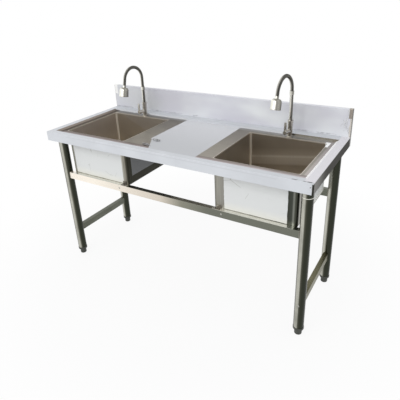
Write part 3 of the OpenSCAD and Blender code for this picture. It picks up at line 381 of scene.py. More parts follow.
def bowl_film(tree, place, side, look, inside):
    """Mask of the film on a bowl: on its front, on its right flank and, in the right bowl, a scrap inside."""
    low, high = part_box("bowl_" + side)
    face, flank, rear = low.y + FLANGE, high.x - FLANGE, high.y - FLANGE
    ends = look.film_left if side == "left" else look.film_right
    foot, margin = (look.flank_foot, 40 * MM) if side == "left" else (look.film_foot, 8 * MM)
    ragged = rip(tree, place, 30 * MM, 4 * MM)
    front = zone(tree, place, (ends[0], face - 1, low.z + look.film_foot), (ends[1], face + 5 * MM, TOP),
                 0.8 * MM, ragged)
    beside = zone(tree, place, (flank - 5 * MM, face + look.flank_strip, low.z + foot),
                  (flank + 1, high.y - margin, TOP), 0.8 * MM, ragged)
    film = add(tree, "Math", (either(tree, front, beside), inside), operation="SUBTRACT", use_clamp=True)[0]
    if side == "right":
        film = either(tree, film, zone(tree, place, (flank - 13 * MM, rear - 20 * MM, DECK - 30 * MM),
                                       (flank + MM, rear + MM, DECK - 2 * MM), 1.5 * MM, ragged))
    return film


def bowl_inside(tree, place, side, look, lines):
    """Satin steel with painted soft light and shade: brighter at the lip, in the rear corners and low on the left
    wall.
    """
    low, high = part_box("bowl_" + side)
    rear = high.y - FLANGE
    light, dark = (look.left_light, look.left_dark) if side == "left" else (look.right_light, look.right_dark)
    steel = between(tree, grain(tree, place, 320 * MM, 2.0), (0.3, 0.7), light, dark)
    steel = between(tree, lines, (-0.3, 2.2), steel, dark)
    # Rear wall: painted reflections, a straight edge in the left bowl, a curved bright line in the right one
    back = zone(tree, place, (low.x, rear - 3 * MM, low.z), (high.x, high.y, TOP))
    lean, at, reach = BOWL_WEDGE[side]
    edge = add(tree, "VectorMath", (place, (lean, 0, 1)), operation="DOT_PRODUCT")["Value"]
    share = add(tree, "MapRange", (edge, at - reach, at + reach, 0.0, 1.0))[0]
    wedge_reflection = add(tree, "ValToRGB", (share,), BOWL_BACK[side])[0]
    steel = over(tree, back, steel, between(tree, lines, (-0.6, 2.6), wedge_reflection, dark))
    # Painted light on the left wall, brightest low down
    if side == "left":
        wall = zone(tree, place, (low.x, low.y, low.z), (low.x + FLANGE + 3 * MM, rear, TOP))
        height = add(tree, "SeparateXYZ", (place,))[2]
        warm = between(tree, height, (DECK - 40 * MM, low.z + 50 * MM), look.wall_light, look.wall_low)
        steel = over(tree, wall, steel, between(tree, lines, (-0.3, 2.4), warm, dark))
    # Painted highlights on the upright rear corner and along the lip
    corner = zone(tree, place, (low.x + FLANGE + MM, rear - 10 * MM, low.z),
                  (low.x + FLANGE + 10 * MM, rear - MM, TOP), 2 * MM)
    steel = over(tree, corner, steel, look.corner_highlight)
    lip = zone(tree, place, (low.x, low.y, DECK - 5 * MM), (high.x, high.y, TOP), 1.5 * MM)
    return over(tree, lip, steel, look.lip_highlight)


def bowl_sheet(side, look):
    """Satin 304 bowl: soft brown grey gradients of painted light and shade inside, painted reflections outside, film
    left on its front and right flank.
    """
    made, tree, place = begin("satin_304_bowl_" + side)
    along, _, height = add(tree, "SeparateXYZ", (place,))
    low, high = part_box("bowl_" + side)
    face, flank = low.y + FLANGE, high.x - FLANGE
    lines = brush(tree, place, (1, 1, 0.03))
    # Faces that look at the bowl's middle are inside
    inward = add(tree, "VectorMath", ((*((low + high) / 2).xy, TOP), place), operation="SUBTRACT")[0]
    facing = add(tree, "VectorMath", (inward, add(tree, "TexCoord")["Normal"]), operation="DOT_PRODUCT")["Value"]
    inside = add(tree, "Math", (facing, 0.0), operation="GREATER_THAN")[0]
    film = bowl_film(tree, place, side, look, inside)
    # Outside: bare beside the film, with upright streaks of painted dark reflection towards the legs
    across = add(tree, "MapRange", (along, low.x + FLANGE, flank, 0.0, 1.0))[0]
    outer = add(tree, "ValToRGB", (across,), BOWL_SKIN_REFLECTIONS[side])[0]
    outer = between(tree, grain(tree, place, 9 * MM, 2.0, (1, 1, 0.04)), (0.35, 1.1), outer, look.outer_dark_reflection)
    behind = zone(tree, place, (low.x - 1, face + 12 * MM, low.z - 1),
                  (flank - 20 * MM if side == "left" else high.x + 1, high.y + 1, TOP), 4 * MM)
    plain = between(tree, lines, (0.2, 0.8), look.plain_dark, look.plain_light)
    outer = over(tree, behind, outer, plain)
    steel = over(tree, inside, outer, bowl_inside(tree, place, side, look, lines))
    # A few sharp folds in the film, painted as darker lines of shade, broken where it lies flat
    fold_shade = add(tree, "TexVoronoi", {"Vector": place, "Scale": 9.0}, feature="DISTANCE_TO_EDGE")["Distance"]
    fold_shade = add(tree, "MapRange", (fold_shade, 0.0, 0.012, 1.0, 0.0))[0]
    broken = add(tree, "MapRange", (grain(tree, place, 70 * MM, 1.0), 0.54, 0.62, 0.0, 1.0), **SOFT)[0]
    milky = over(tree, shared(tree, fold_shade, broken), look.film, look.fold_shade)
    milky = between(tree, height, (low.z + 60 * MM, low.z + 10 * MM), milky, look.film_cream)
    # The left bowl's right flank gets a darker copy of the film: painted shade
    if side == "left":
        milky = between(tree, along, (flank - MM, flank), milky, look.flank_film_shade)
    surface = over(tree, film, steel, milky)
    faint = add(tree, "Math", (lines, 0.06), **TIMES)[0]
    raised = add(tree, "Math", (film, faint), operation="ADD")[0]
    return finish(made, Base_Color=surface, Metallic=add(tree, "Math", (1.0, film), operation="SUBTRACT")[0],
                  Roughness=add(tree, "MapRange", (lines, 0.2, 0.8, 0.34, 0.46))[0],
                  **relief(tree, raised, 0.2 * MM))


def polished_tube(name, turn, shade_tones, look, ring=0.0):
    """Mirror polished 304 tube with painted reflections: dark olive with one long painted highlight streak and a
    paler far edge.
    """
    made, tree, place = begin(name)
    lines = brush(tree, place, (1, 1, 0.01), 2.5 * MM)
    shade = round_shade(tree, lines, turn, shade_tones, 0.025)
    shade = between(tree, grain(tree, place, 110 * MM), (0.3, 1.3), shade, shade_tones[4][1])
    if ring:  # Edge of a leftover sleeve of film round the leg
        sleeve = zone(tree, place, (-1, -1, ring - 1.2 * MM), (1, 1, ring + 1.2 * MM), 0.4 * MM)
        shade = over(tree, sleeve, shade, look.sleeve)
    return surfaced(made, shade, lines, (0.16, 0.28), 0.01 * MM)


def drawn_beam(name, look, lit=False):
    """Polished 304 box tube: olive grey along the brushing. The front one carries a painted reflection of a cream
    room at its left.
    """
    made, tree, place = begin(name)
    lines = brush(tree, place, (0.01, 1, 1), 2.0 * MM)
    steel = between(tree, lines, (0.25, 0.75), look.beam_dark, look.beam_light)
    if lit:
        along = add(tree, "SeparateXYZ", (place,))[0]
        room = add(tree, "ValToRGB", (add(tree, "MapRange", (along, -0.5, 0.45, 0.0, 1.0))[0],),
                   ((0.0, look.beam_cream), (0.48, look.beam_middle), (0.62, look.beam_turn),
                    (0.78, look.beam_light)))[0]
        steel = between(tree, lines, (0.45, 1.9), room, look.beam_dark)
        # Its upper face carries a painted reflection in front of the bowls and painted shade between them
        for reach, depth, shade in ((0.66, 0.6 * MM, look.beam_ledge_reflection), (0.26, MM, look.beam_shade)):
            ledge = zone(tree, place, (-reach, BEAM_LOW.y - 1, BEAM_HIGH.z - depth), (reach, BEAM_HIGH.y + 1, TOP))
            steel = over(tree, ledge, steel, shade)
    return surfaced(made, steel, lines, (0.2, 0.32), 0.01 * MM)


def plated_metal(name, code, dark, rough=0.2):
    """Plate on turned brass: a soft grey with fine turned lines and a clear reflection."""
    made, tree, place = begin(name)
    lines = brush(tree, place, (0.1, 0.1, 1), 1.2 * MM)
    return surfaced(made, between(tree, lines, (0.2, 0.8), dark, code), lines, (rough, rough + 0.12), 0.01 * MM)


def satin_nickel(name, turn, shade_tones, rough=0.24):
    """Satin nickel on brass with painted light: white where it faces the window side, painted shade in warm grey
    beyond, turned lines.
    """
    made, tree, place = begin(name)
    lines = brush(tree, place, (0.1, 0.1, 1), 1.2 * MM)
    return surfaced(made, round_shade(tree, lines, turn, shade_tones, 0.02), lines, (rough, rough + 0.1), 0.01 * MM)


def moulded_plastic(name, code, dark):
    """Moulded nylon: even colour, a fine spark texture and a soft sheen."""
    made, tree, place = begin(name)
    colour = between(tree, grain(tree, place, 14 * MM), (0.3, 0.7), dark, code)
    return surfaced(made, colour, grain(tree, place, 0.9 * MM, 2.0), (0.37, 0.55), 0.05 * MM, 0.0)


def moulded_rubber(name, code, dusty):
    """Nitrile rubber: black and matt, nearly even, with a trace of dust."""
    made, tree, place = begin(name)
    dust = grain(tree, place, 4 * MM, 4.0)
    return surfaced(made, between(tree, dust, (0.4, 0.8), code, dusty), dust, (0.7, 0.9), 0.1 * MM, 0.0)


def welded_bead(name, code, dark):
    """TIG weld, brushed over: pale rippled steel with a straw and grey tint that follows its ripples."""
    made, tree, place = begin(name)
    ripple = grain(tree, place, 1.5 * MM, 2.0)
    return surfaced(made, between(tree, ripple, (0.3, 0.7), dark, code), ripple, (0.3, 0.5), 0.15 * MM)


def loose_film(name, code, dark):
    """Torn PE film: milky, with painted shade in patches that stand for where it is rolled up, and small creases."""
    made, tree, place = begin(name)
    crease = grain(tree, place, 3 * MM, 4.0)
    return surfaced(made, between(tree, crease, (0.35, 0.65), dark, code), crease, (0.25, 0.4), 0.3 * MM, 0.0)


def wear(material, *nodes):
    """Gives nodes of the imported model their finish."""
    for node in nodes:
        slots = NODES[node].data.materials
        slots.clear()
        slots.append(material)


def settle(context, name, shape, material, body):
    """Turns a built shape into a piece that rides on a body."""
    bmesh.ops.recalc_face_normals(shape, faces=shape.faces)
    for face in shape.faces:
        face.smooth = True
    mesh = bpy.data.meshes.new(name)
    shape.to_mesh(mesh)
    shape.free()
    mesh.materials.append(material)
    piece = bpy.data.objects.new(name, mesh)
    context.scene.collection.objects.link(piece)
    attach(piece, body)
    return piece


def lace(shape, rings, closed=True):
    """Faces between rings of equal length. The last joins the first, or both get an end face."""
    pairs = list(zip(rings, rings[1:])) + ([(rings[-1], rings[0])] if closed else [])
    for a, b in pairs:
        for i in range(len(a)):
            j = (i + 1) % len(a)
            shape.faces.new((a[i], a[j], b[j], b[i]))
    for end in () if closed else (rings[0], rings[-1]):
        shape.faces.new(end)


# Settings

def code(name, description, default):
    """A colour of a finish, as an sRGB hex value."""
    return bpy.props.StringProperty(name=name, description=description, default=default)


def span(name, description, default):
    """A distance on the table, or the two ends of a strip."""
    if isinstance(default, tuple):
        return bpy.props.FloatVectorProperty(name=name, description=description, size=2, default=default,
                                             unit="LENGTH")
    return bpy.props.FloatProperty(name=name, description=description, default=default, unit="LENGTH")


class SheetLook(bpy.types.PropertyGroup):
    """Film and steel of the folded sheets."""
    film_light: code("Film", "Protective film in the light", "#D0D3D7")
    film_dark: code("Film, greyer", "Clouded film", "#C9CCD0")
    # Painted shade on the deck film, lighter at the back
    deck_film_shade: code("Film on the deck", "Film between the bowls", "#BEC0C3")
    deck_film_lit: code("Film at the back", "Film between the bowls, at the back", "#D4D5D8")
    film_end: code("Film on the end rim", "Film on the right rim", "#DFDDE1")
    # A painted highlight
    film_edge_highlight: code("Film edge", "White edge of the film on the right slope", "#FFFFFF")
    bare_light: code("Bare steel", "Brushed steel round the bowls", "#C1BCB3")
    bare_dark: code("Bare steel, streaks", "Dark brush lines", "#AFAAA1")
    # Painted reflections on the bare steel, place by place
    right_steel_reflection: code("Right steel", "Steel at the right end", "#D0C9C5")
    rear_steel_reflection: code("Rear steel", "Steel at the foot of the rear step", "#D6D4D2")
    left_steel_reflection: code("Left steel", "Steel at the left end", "#8F867E")
    slope_reflection: code("Front slope", "Steel on the front slope", "#C9BDBD")
    slope_right_reflection: code("Front slope, right", "Steel in front of the right bowl", "#DDD4D6")
    strip_reflection: code("Front strip", "Steel between slope and bowl", "#A59D98")
    # Painted shade on the step
    step_shade: code("Step", "Bare step behind the right bowl", "#7C7971")
    # Painted shade at the front corner
    corner_shade_colour: code("Chips", "Torn spots at the front corner", "#3A3A35")
    # A painted highlight
    lip_highlight_steel: code("Lips", "Rounded edges of the openings", "#F0E9DF")
    # Painted shade on the end face, from its front to its rear
    end_front_lit: code("End face, front", "Bare steel on the end, at its front", "#B9B8B5")
    end_rear_shade: code("End face, rear", "Bare steel on the end, further back", "#7A7976")
    splash_light: code("Splash", "Film on the splash", "#E9ECEE")
    # Painted reflections: soft smudges, greyer on the left
    splash_left_reflection: code("Splash, left", "Film on the left of the splash", "#D2D4D7")
    splash_reflection: code("Splash, greyer", "Soft lilac smudges", "#D0D0D8")
    # Painted shade in the creases
    crease: code("Creases", "Sharp dark creases of the splash film", "#6C6D6B")
    # Painted shade at the foot of the splash
    splash_foot_shade: code("Splash, foot", "Folds at the foot of the splash", "#A9AAAE")
    loose_film: code("Loose film", "Loose film at the left end", "#F4F4F2")
    torn_dark: code("Torn patch", "Bare steel at the right corner", "#A39C93")
    torn_light: code("Torn strip", "Bare edge of the splash", "#D6D2CA")
    edge_tint: code("Glancing light", "Tint of what the sheet reflects at a glancing angle", "#8C8C8C")
    film_left: span("Left edge of the deck film", "Distance from the middle", -0.161)
    film_right: span("Right edge of the deck film", "Distance from the middle", 0.184)
    edge_width: span("White edge", "Width of the film's white edge at the right end", 3 * MM)
    torn_corner: span("Torn corner", "Where the slanting tear of the deck film runs", -0.2231)
    torn_slant: bpy.props.FloatProperty(name="Slant", description="How far that tear leans", default=0.57)
    torn_end: span("End of the torn corner", "Its place along and across the table", (-0.06, -0.128))
    scrap_right: span("Scrap", "Right end of the scrap beside the right bowl", 0.683)
    scrap_ends: span("Scrap, across", "Front and rear end of that scrap", (0.125, 0.192))
    step_start: span("Bare step", "Where the step is bare, from the middle", 0.45)
    torn_size: span("Torn patch, size", "Width and height of the bare patch on the splash", (17 * MM, 48 * MM))
    strip_width: span("Torn strip, width", "Width of the bare edge of the splash", 9 * MM)
    loose_size: span("Loose film, size", "Its width and height", (24 * MM, 55 * MM))
    crease_ends: span("Creases, ends", "Their distance from the right end", (17 * MM, 50 * MM))
    crease_heights: span("Creases, heights", "Their distance from the top", (55 * MM, 112 * MM))


class BowlLook(bpy.types.PropertyGroup):
    """Steel and film of the bowls."""
    left_light: code("Left bowl", "Satin steel of the left bowl", "#D2CDC6")
    left_dark: code("Left bowl, darker", "Soft shade of the left bowl", "#C2BCB3")
    right_light: code("Right bowl", "Satin steel of the right bowl", "#C6BFB6")
    right_dark: code("Right bowl, darker", "Soft shade of the right bowl", "#B5AEA4")
    # Painted light on the left wall of the left bowl
    wall_light: code("Left wall", "Left wall of the left bowl, at its top", "#DDD4CD")
    wall_low: code("Left wall, low", "The same wall further down", "#FBF2E6")
    # Painted highlights in the rear corners and along the lip
    corner_highlight: code("Rear corners", "Upright bright lines", "#FFF8EC")
    lip_highlight: code("Bowl lip", "Upper edge of a bowl", "#F2ECE2")
    # Painted dark reflections in upright streaks on the bare outside
    outer_dark_reflection: code("Outside, streaks", "Upright dark streaks beside the film", "#3C3D35")
    plain_light: code("Sides and back", "Outer faces without film", "#B4B2AA")
    plain_dark: code("Sides and back, streaks", "Brush lines on those faces", "#97958D")
    film: code("Bowl film", "Film on the outer faces", "#DADCDB")
    film_cream: code("Bowl film, low", "Lower edge of that film", "#E6E6DF")
    # Painted shade in the folds of the bowl film
    fold_shade: code("Folds", "Creases in that film", "#B4B5B0")
    # A darker copy of the bowl film: painted shade on the flank
    flank_film_shade: code("Flank film", "Film on the left bowl's right wall", "#727476")
    film_left: span("Film on the left bowl", "Its two ends", (-0.648, -0.297))
    film_right: span("Film on the right bowl", "Its two ends", (0.317, 0.624))
    film_foot: span("Foot of the film", "Bare height below the film", 10 * MM)
    flank_strip: span("Flank strip", "Bare width on the flank", 35 * MM)
    flank_foot: span("Flank foot", "Bare height on the flank", 47 * MM)


class FrameLook(bpy.types.PropertyGroup):
    """Steel of the legs and beams."""
    beam_light: code("Beam", "Polished box tube", "#74766C")
    beam_dark: code("Beam, streaks", "Dark brush lines", "#575A50")
    beam_gold: code("Side beam", "Right side beam, lit from the floor", "#8C886E")
    beam_bronze: code("Side beam, streaks", "Dark brush lines of that beam", "#66644F")
    beam_cream: code("Beam, left", "Cream reflection at its left", "#FFF7EA")
    beam_middle: code("Beam, middle", "Reflection at its middle", "#DAD1C4")
    beam_turn: code("Beam, right of the middle", "Where the reflection ends", "#8F8E81")
    # A painted reflection
    beam_ledge_reflection: code("Ledge", "Top of the beam in front of a bowl", "#E0DFD8")
    beam_shade: code("Shaded ledge", "Top of the beam between the bowls", "#8E8D82")
    sleeve: code("Film ring", "Edge of the film left on the front right leg", "#F4F3E8")
    sleeve_height: span("Height of the film ring", "Above the floor", 0.731)


class TapLook(bpy.types.PropertyGroup):
    """Metal of the taps, as painted light and shade: a bright side turned to the light, paler and bounced tones, and
    dark far sides.
    """
    white: code("Window side", "Bright side of the metal", "#FBFAEF")
    pale: code("Pale side", "Beside the bright side", "#D8D5CE")
    bounce: code("Bounced light", "Far side, lit from the splash", "#A3A199")
    grey: code("Far side", "Side turned from the window", "#8A8880")
    dark: code("Dark band", "Dark band of the metal", "#65635E")
    shade: code("Far edge", "Darkest edge of the head", "#5E5C57")
    body: code("Body", "Front of the tap body", "#B3AFA9")
    hose: code("Hose", "Ribbed hose", "#504F4B")
    hose_lit_side: code("Hose, pale side", "Left side of the hose", "#C9C7C1")
    ribs: bpy.props.IntProperty(name="Ribs", description="Ribs on each hose", default=84)


class StageLook(bpy.types.PropertyGroup):
    """Floor, lamps and camera."""
    floor_code: code("Floor", "Plain pale floor", "#E8E8E8")
    key_power: bpy.props.FloatProperty(name="Front lamp", description="Power of the large front lamp",
                                       default=120.0, unit="POWER")
    sky: bpy.props.FloatProperty(name="Sky", description="Even light from all round", default=0.80)


# Building

class SINK_OT_stage(bpy.types.Operator):
    """Sets up the floor, the light and the camera"""
    bl_idname = "sink.stage"
    bl_label = "Stage"

    # Camera, fitted to the corners of the table: its place, its yaw, pitch and roll in degrees, and its focal
    # length and optical centre in pixels of the square picture
    eye = (1.1343, -1.7038, 1.5187)
    turns = (31.68, 24.29, -2.33)
    picture, focal, centre = 400, 412.1, (204.9, 173.2)

    def execute(self, context):
        look = context.scene.sink_stage
        scene = context.scene
        # Floor: white where it is seen, with the object's shadow near it
        shape = bmesh.new()
        bmesh.ops.create_grid(shape, x_segments=1, y_segments=1, size=14)
        mesh = bpy.data.meshes.new("floor")
        shape.to_mesh(mesh)
        shape.free()
        floor = bpy.data.objects.new("floor", mesh)
        floor.location.z = -0.4 * MM
        scene.collection.objects.link(floor)
        made, tree, place = begin("pale_studio_floor")
        away = add(tree, "VectorMath", (place,), operation="LENGTH")["Value"]
        share = add(tree, "MapRange", (away, 0.7, 1.7, 0.90, 1.0), **SOFT)[0]
        lit = add(tree, "BsdfDiffuse", {"Color": linear(look.floor_code)})
        glow = add(tree, "Emission", {"Color": (1, 1, 1, 1), "Strength": 1.0})
        white = add(tree, "MixShader", (share, lit[0], glow[0]))
        both = add(tree, "MixShader", (self.seen(tree), lit[0], white[0]))
        add(tree, "OutputMaterial", {"Surface": both[0]})
        mesh.materials.append(made)
        # Sky: white where it is seen, even light elsewhere
        world = bpy.data.worlds.new("studio")
        scene.world = world
        world.use_nodes = True
        tree = world.node_tree
        tree.nodes.clear()
        shade = add(tree, "Background", {"Color": (0.98, 0.985, 1.0, 1), "Strength": look.sky})
        white = add(tree, "Background", {"Color": (1, 1, 1, 1), "Strength": 1.0})
        both = add(tree, "MixShader", (self.seen(tree), shade[0], white[0]))
        add(tree, "OutputWorld", {"Surface": both[0]})
        # One large soft lamp, high in front and a little to the left
        lamp = bpy.data.lights.new("front_lamp", "AREA")
        lamp.shape = "RECTANGLE"
        lamp.size, lamp.size_y = 4.2, 3.0
        lamp.energy = look.key_power
        lit = bpy.data.objects.new("front_lamp", lamp)
        lit.location = (-0.5, -5.0, 3.9)
        aim = Vector((0, 0, 0.7)) - Vector(lit.location)
        lit.rotation_euler = aim.to_track_quat("-Z", "Y").to_euler()
        scene.collection.objects.link(lit)
        # Camera
        yaw, pitch, roll = (math.radians(a) for a in self.turns)
        ahead = Vector((-math.sin(yaw) * math.cos(pitch), math.cos(yaw) * math.cos(pitch), -math.sin(pitch)))
        right = Vector((math.cos(yaw), math.sin(yaw), 0))
        up = right.cross(ahead)
        side = math.cos(roll) * right + math.sin(roll) * up
        upper = -math.sin(roll) * right + math.cos(roll) * up
        turn = Matrix((side, upper, -ahead)).transposed()
        lens = bpy.data.cameras.new("camera")
        lens.sensor_width = 36
        lens.lens = self.focal * lens.sensor_width / self.picture
        lens.shift_x = (self.picture / 2 - self.centre[0]) / self.picture
        lens.shift_y = (self.centre[1] - self.picture / 2) / self.picture
        camera = bpy.data.objects.new("camera", lens)
        camera.matrix_world = Matrix.Translation(self.eye) @ turn.to_4x4()
        scene.collection.objects.link(camera)
        scene.camera = camera
        scene.view_settings.view_transform = "Standard"
        return {"FINISHED"}

    def seen(self, tree):
        """1 for rays that show the background: those of the picture, of gloss and of glass."""
        path = add(tree, "LightPath")
        return either(tree, path["Is Camera Ray"], path["Is Glossy Ray"], path["Is Transmission Ray"])


class SINK_OT_sheets(bpy.types.Operator):
    """Finishes the top, the splash, the caps, the sockets and the stiffeners"""
    bl_idname = "sink.sheets"
    bl_label = "Folded sheets"

    def execute(self, context):
        look = context.scene.sink_sheets
        wear(filmed_panel(look), "top_panel")
        wear(filmed_splash(look), "backsplash")
        wear(brushed_sheet("brushed_304_sheet", "#9B978F", "#7F7B73"), "splash_cap_left",
             "deck_stiffeners", "bowl_clips", *("leg_socket_" + c for c in CORNERS))
        # The right end cap is a darker copy of the brushed sheet: painted shade
        wear(brushed_sheet("shaded_brushed_304_end_cap", "#6E6B65", "#55534E"), "splash_cap_right")
        return {"FINISHED"}


class SINK_OT_film(bpy.types.Operator):
    """Lays the torn scraps of film on the deck, the front corner and the splash"""
    bl_idname = "sink.film"
    bl_label = "Scraps of film"

    # Curled shreds on the deck: middle, half length, half width, turn in degrees and height
    shreds = (((-0.116, -0.139), 0.031, 0.010, -16, 4.5 * MM), ((-0.131, -0.209), 0.022, 0.008, -8, 5 * MM),
              ((-0.106, -0.135), 0.012, 0.005, 20, 3 * MM), ((-0.112, -0.214), 0.011, 0.005, 10, 4 * MM))
    # Small flakes on the front edge: place along the table, length and width
    flakes = ((0.660, 0.024, 0.004), (0.706, 0.014, 0.004), (0.722, 0.022, 0.007))
    # Flaps that hang from the splash: distance from its end and from its top, and length
    flaps = ((20 * MM, 6 * MM, 40 * MM), (26 * MM, 46 * MM, 50 * MM), (34 * MM, 60 * MM, 36 * MM),
             (14 * MM, 90 * MM, 30 * MM))
    # Real film is 0.08 mm thick and is drawn 0.3 mm thick to show
    thick = 0.3 * MM

    def execute(self, context):
        shape = bmesh.new()
        for (x, y), length, width, degrees, height in self.shreds:
            self.curl(shape, Vector((x, y, DECK)), length, width, math.radians(degrees), height)
        for x, length, width in self.flakes:
            self.strip(shape, Vector((x, FRONT + 7 * MM, TOP)), Vector((0.99, -0.08, 0)), Vector((0, 0, 1)),
                       length, width, 3 * MM)
        # The rolled shreds and flakes carry dark grey patches of painted shade
        settle(context, "curled_film_shreds", shape, loose_film("rolled_pe_film", "#BDBDBE", "#5C5C5E"), "frame")
        shape = bmesh.new()
        for inset, below, length in self.flaps:
            self.strip(shape, Vector((END - inset, SPLASH, SPLASH_TOP - below)), Vector((0.1, 0, -1)),
                       Vector((0, -1, 0)), length, 5 * MM, 4 * MM)
        settle(context, "torn_film_flaps", shape, loose_film("torn_pe_film", "#EFF0F1", "#B4B5B8"), "frame")
        return {"FINISHED"}

    def curl(self, shape, middle, length, width, turn, height):
        """A shred rolled into a flat open loop that stands on its edge, a little over one turn long."""
        steps, first, sweep = 40, 0.5, 6.6
        ahead, aside = Vector((math.cos(turn), math.sin(turn), 0)), Vector((-math.sin(turn), math.cos(turn), 0))
        rings = []
        for k in range(steps + 1):
            t = k / steps
            angle = first + sweep * t
            wide = 1 - 0.25 * t + 0.08 * math.sin(9 * t)
            reach = wide * (length * math.cos(angle) * ahead + width * math.sin(angle) * aside)
            tall = height * (0.55 + 0.45 * math.sin(5 * t + 1) ** 2)
            rings.append([shape.verts.new(middle + reach + reach.normalized() * (side * self.thick + up * tall / 4)
                                          + Vector((0, 0, 0.1 * MM + up * tall)))
                          for side, up in ((-0.5, 0), (0.5, 0), (0.5, 0.5), (0.5, 1), (-0.5, 1), (-0.5, 0.5))])
        lace(shape, rings, False)

    def strip(self, shape, start, along, out, length, width, lift):
        """A narrow strip on a surface, which tapers and curls away from it."""
        along = along.normalized()
        across = out.cross(along)
        steps, rings = 14, []
        for k in range(steps + 1):
            t = k / steps
            half = width / 2 * (1 - 0.75 * t ** 3) * (1 + 0.12 * math.sin(9 * t))
            rise = 0.15 * MM + lift * t ** 2.4
            middle = start + along * length * t + across * 0.1 * width * math.sin(5 * t)
            cup = 0.25 * lift * t
            rings.append([shape.verts.new(middle + across * half * a + out * (rise + b * self.thick + cup * a * a))
                          for a, b in ((-1, 0), (0, 0), (1, 0), (1, 1), (0, 1), (-1, 1))])
        lace(shape, rings, False)


class SINK_OT_bowls(bpy.types.Operator):
    """Finishes the bowls and their drains"""
    bl_idname = "sink.bowls"
    bl_label = "Bowls and drains"

    def execute(self, context):
        drawn = plated_metal("polished_304_strainer", "#B4B2AC", "#98968F", 0.2)
        chrome = plated_metal("chromed_brass_tube", "#A5A5A2", "#83837F", 0.14)
        rubber = moulded_rubber("black_nitrile_rubber", "#181818", "#34322E")
        for side in SIDES:
            wear(bowl_sheet(side, context.scene.sink_bowls), "bowl_" + side)
            wear(drawn, "strainer_body_" + side, "strainer_basket_" + side)
            wear(chrome, "strainer_nut_" + side, "tailpiece_" + side)
            wear(rubber, "strainer_washer_" + side)
        wear(chrome, "tailpiece_nuts")
        return {"FINISHED"}


class SINK_OT_legs(bpy.types.Operator):
    """Finishes the legs, beams, screws and feet"""
    bl_idname = "sink.legs"
    bl_label = "Legs and beams"

    # Which way the painted bright streak of each leg is turned, in degrees from the front
    streaks = {"front_left": 11, "front_right": -21, "rear_left": -9, "rear_right": -32}
    # Painted light and shade round each leg, from its far side to the painted highlight
    shade_tones = ((0.0, "#B5B5AB"), (0.025, "#8B8C82"), (0.07, "#44463E"), (0.25, "#2D3029"), (0.60, "#33362E"),
             (0.86, "#383A31"), (0.92, "#4A4A40"), (0.95, "#656459"), (0.972, "#98988D"), (0.988, "#C6C5BA"),
             (1.0, "#BCBBB0"))

    def execute(self, context):
        look = context.scene.sink_frame
        foot = moulded_plastic("moulded_nylon_foot", "#3D3F38", "#31332D")
        for corner in CORNERS:
            ring = look.sleeve_height if corner == "front_right" else 0.0
            # Each leg gets its own copy of the tube finish, with its painted highlight turned its own way
            wear(polished_tube("polished_304_leg_" + corner, self.streaks[corner], self.shade_tones, look, ring),
                 "leg_" + corner)
            wear(foot, "foot_collar_" + corner, "foot_" + corner)
        wear(drawn_beam("polished_304_box_tube", look), "rear_beam")
        along = (1, 0.02, 1)
        wear(brushed_sheet("polished_304_left_tube", look.beam_light, look.beam_dark, along), "side_beam_left")
        wear(brushed_sheet("polished_304_right_tube", look.beam_gold, look.beam_bronze, along), "side_beam_right")
        wear(drawn_beam("polished_304_front_tube", look, True), "front_beam")
        wear(brushed_sheet("bright_zinc_screw", "#B0AFA8", "#9A9992", (1, 1, 1)), "frame_screws")
        return {"FINISHED"}


class SINK_OT_welds(bpy.types.Operator):
    """Lays the weld beads where the front and rear beams meet the legs"""
    bl_idname = "sink.welds"
    bl_label = "Weld beads"

    # Radius of a bead, of the beam's corners, distance between two rings of the bead, and points in a ring
    radius, corner, step, around = 1.4 * MM, 4 * MM, 0.7 * MM, 8

    def execute(self, context):
        shape = bmesh.new()
        for beam in ("front_beam", "rear_beam"):
            low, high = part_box(beam)
            for side in SIDES:
                leg_low, leg_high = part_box("leg_" + beam.split("_")[0] + "_" + side)
                centre = (leg_low + leg_high) / 2
                self.bead(shape, centre, (leg_high.x - leg_low.x) / 2, (low + high) / 2, (high - low) / 2,
                          1 if side == "left" else -1)
        settle(context, "weld_beads", shape, welded_bead("brushed_tig_weld", "#BDB8AE", "#8E867A"), "frame")
        return {"FINISHED"}

    def bead(self, shape, centre, leg_radius, middle, half, towards):
        """A rippled bead round a beam of that middle and half size, on a leg of that radius."""
        sides = []
        for sy, sz, start in ((1, 1, 0), (-1, 1, 90), (-1, -1, 180), (1, -1, 270)):
            for k in range(5):
                a = math.radians(start + 90 * k / 4)
                sides.append((sy * (half.y - self.corner) + self.corner * math.cos(a),
                              sz * (half.z - self.corner) + self.corner * math.sin(a)))
        path = []
        for (y0, z0), (y1, z1) in zip(sides, sides[1:] + sides[:1]):
            pieces = max(1, round(math.hypot(y1 - y0, z1 - z0) / self.step))
            path += [(y0 + (y1 - y0) * k / pieces, z0 + (z1 - z0) * k / pieces) for k in range(pieces)]
        rings = []
        for k, (y, z) in enumerate(path):
            before, after = path[k - 1], path[(k + 1) % len(path)]
            out = Vector((0, after[1] - before[1], before[0] - after[0])).normalized()
            off = middle.y + y - centre.y
            reach = math.sqrt(leg_radius ** 2 - off ** 2)
            spot = Vector((centre.x + towards * reach, middle.y + y, middle.z + z))
            size = self.radius * (1 + 0.12 * math.sin(k * 2.1))
            rings.append([shape.verts.new(spot + size * (math.cos(t) * out + math.sin(t) * Vector((towards, 0, 0))))
                          for t in (2 * math.pi * i / self.around for i in range(self.around))])
        lace(shape, rings)


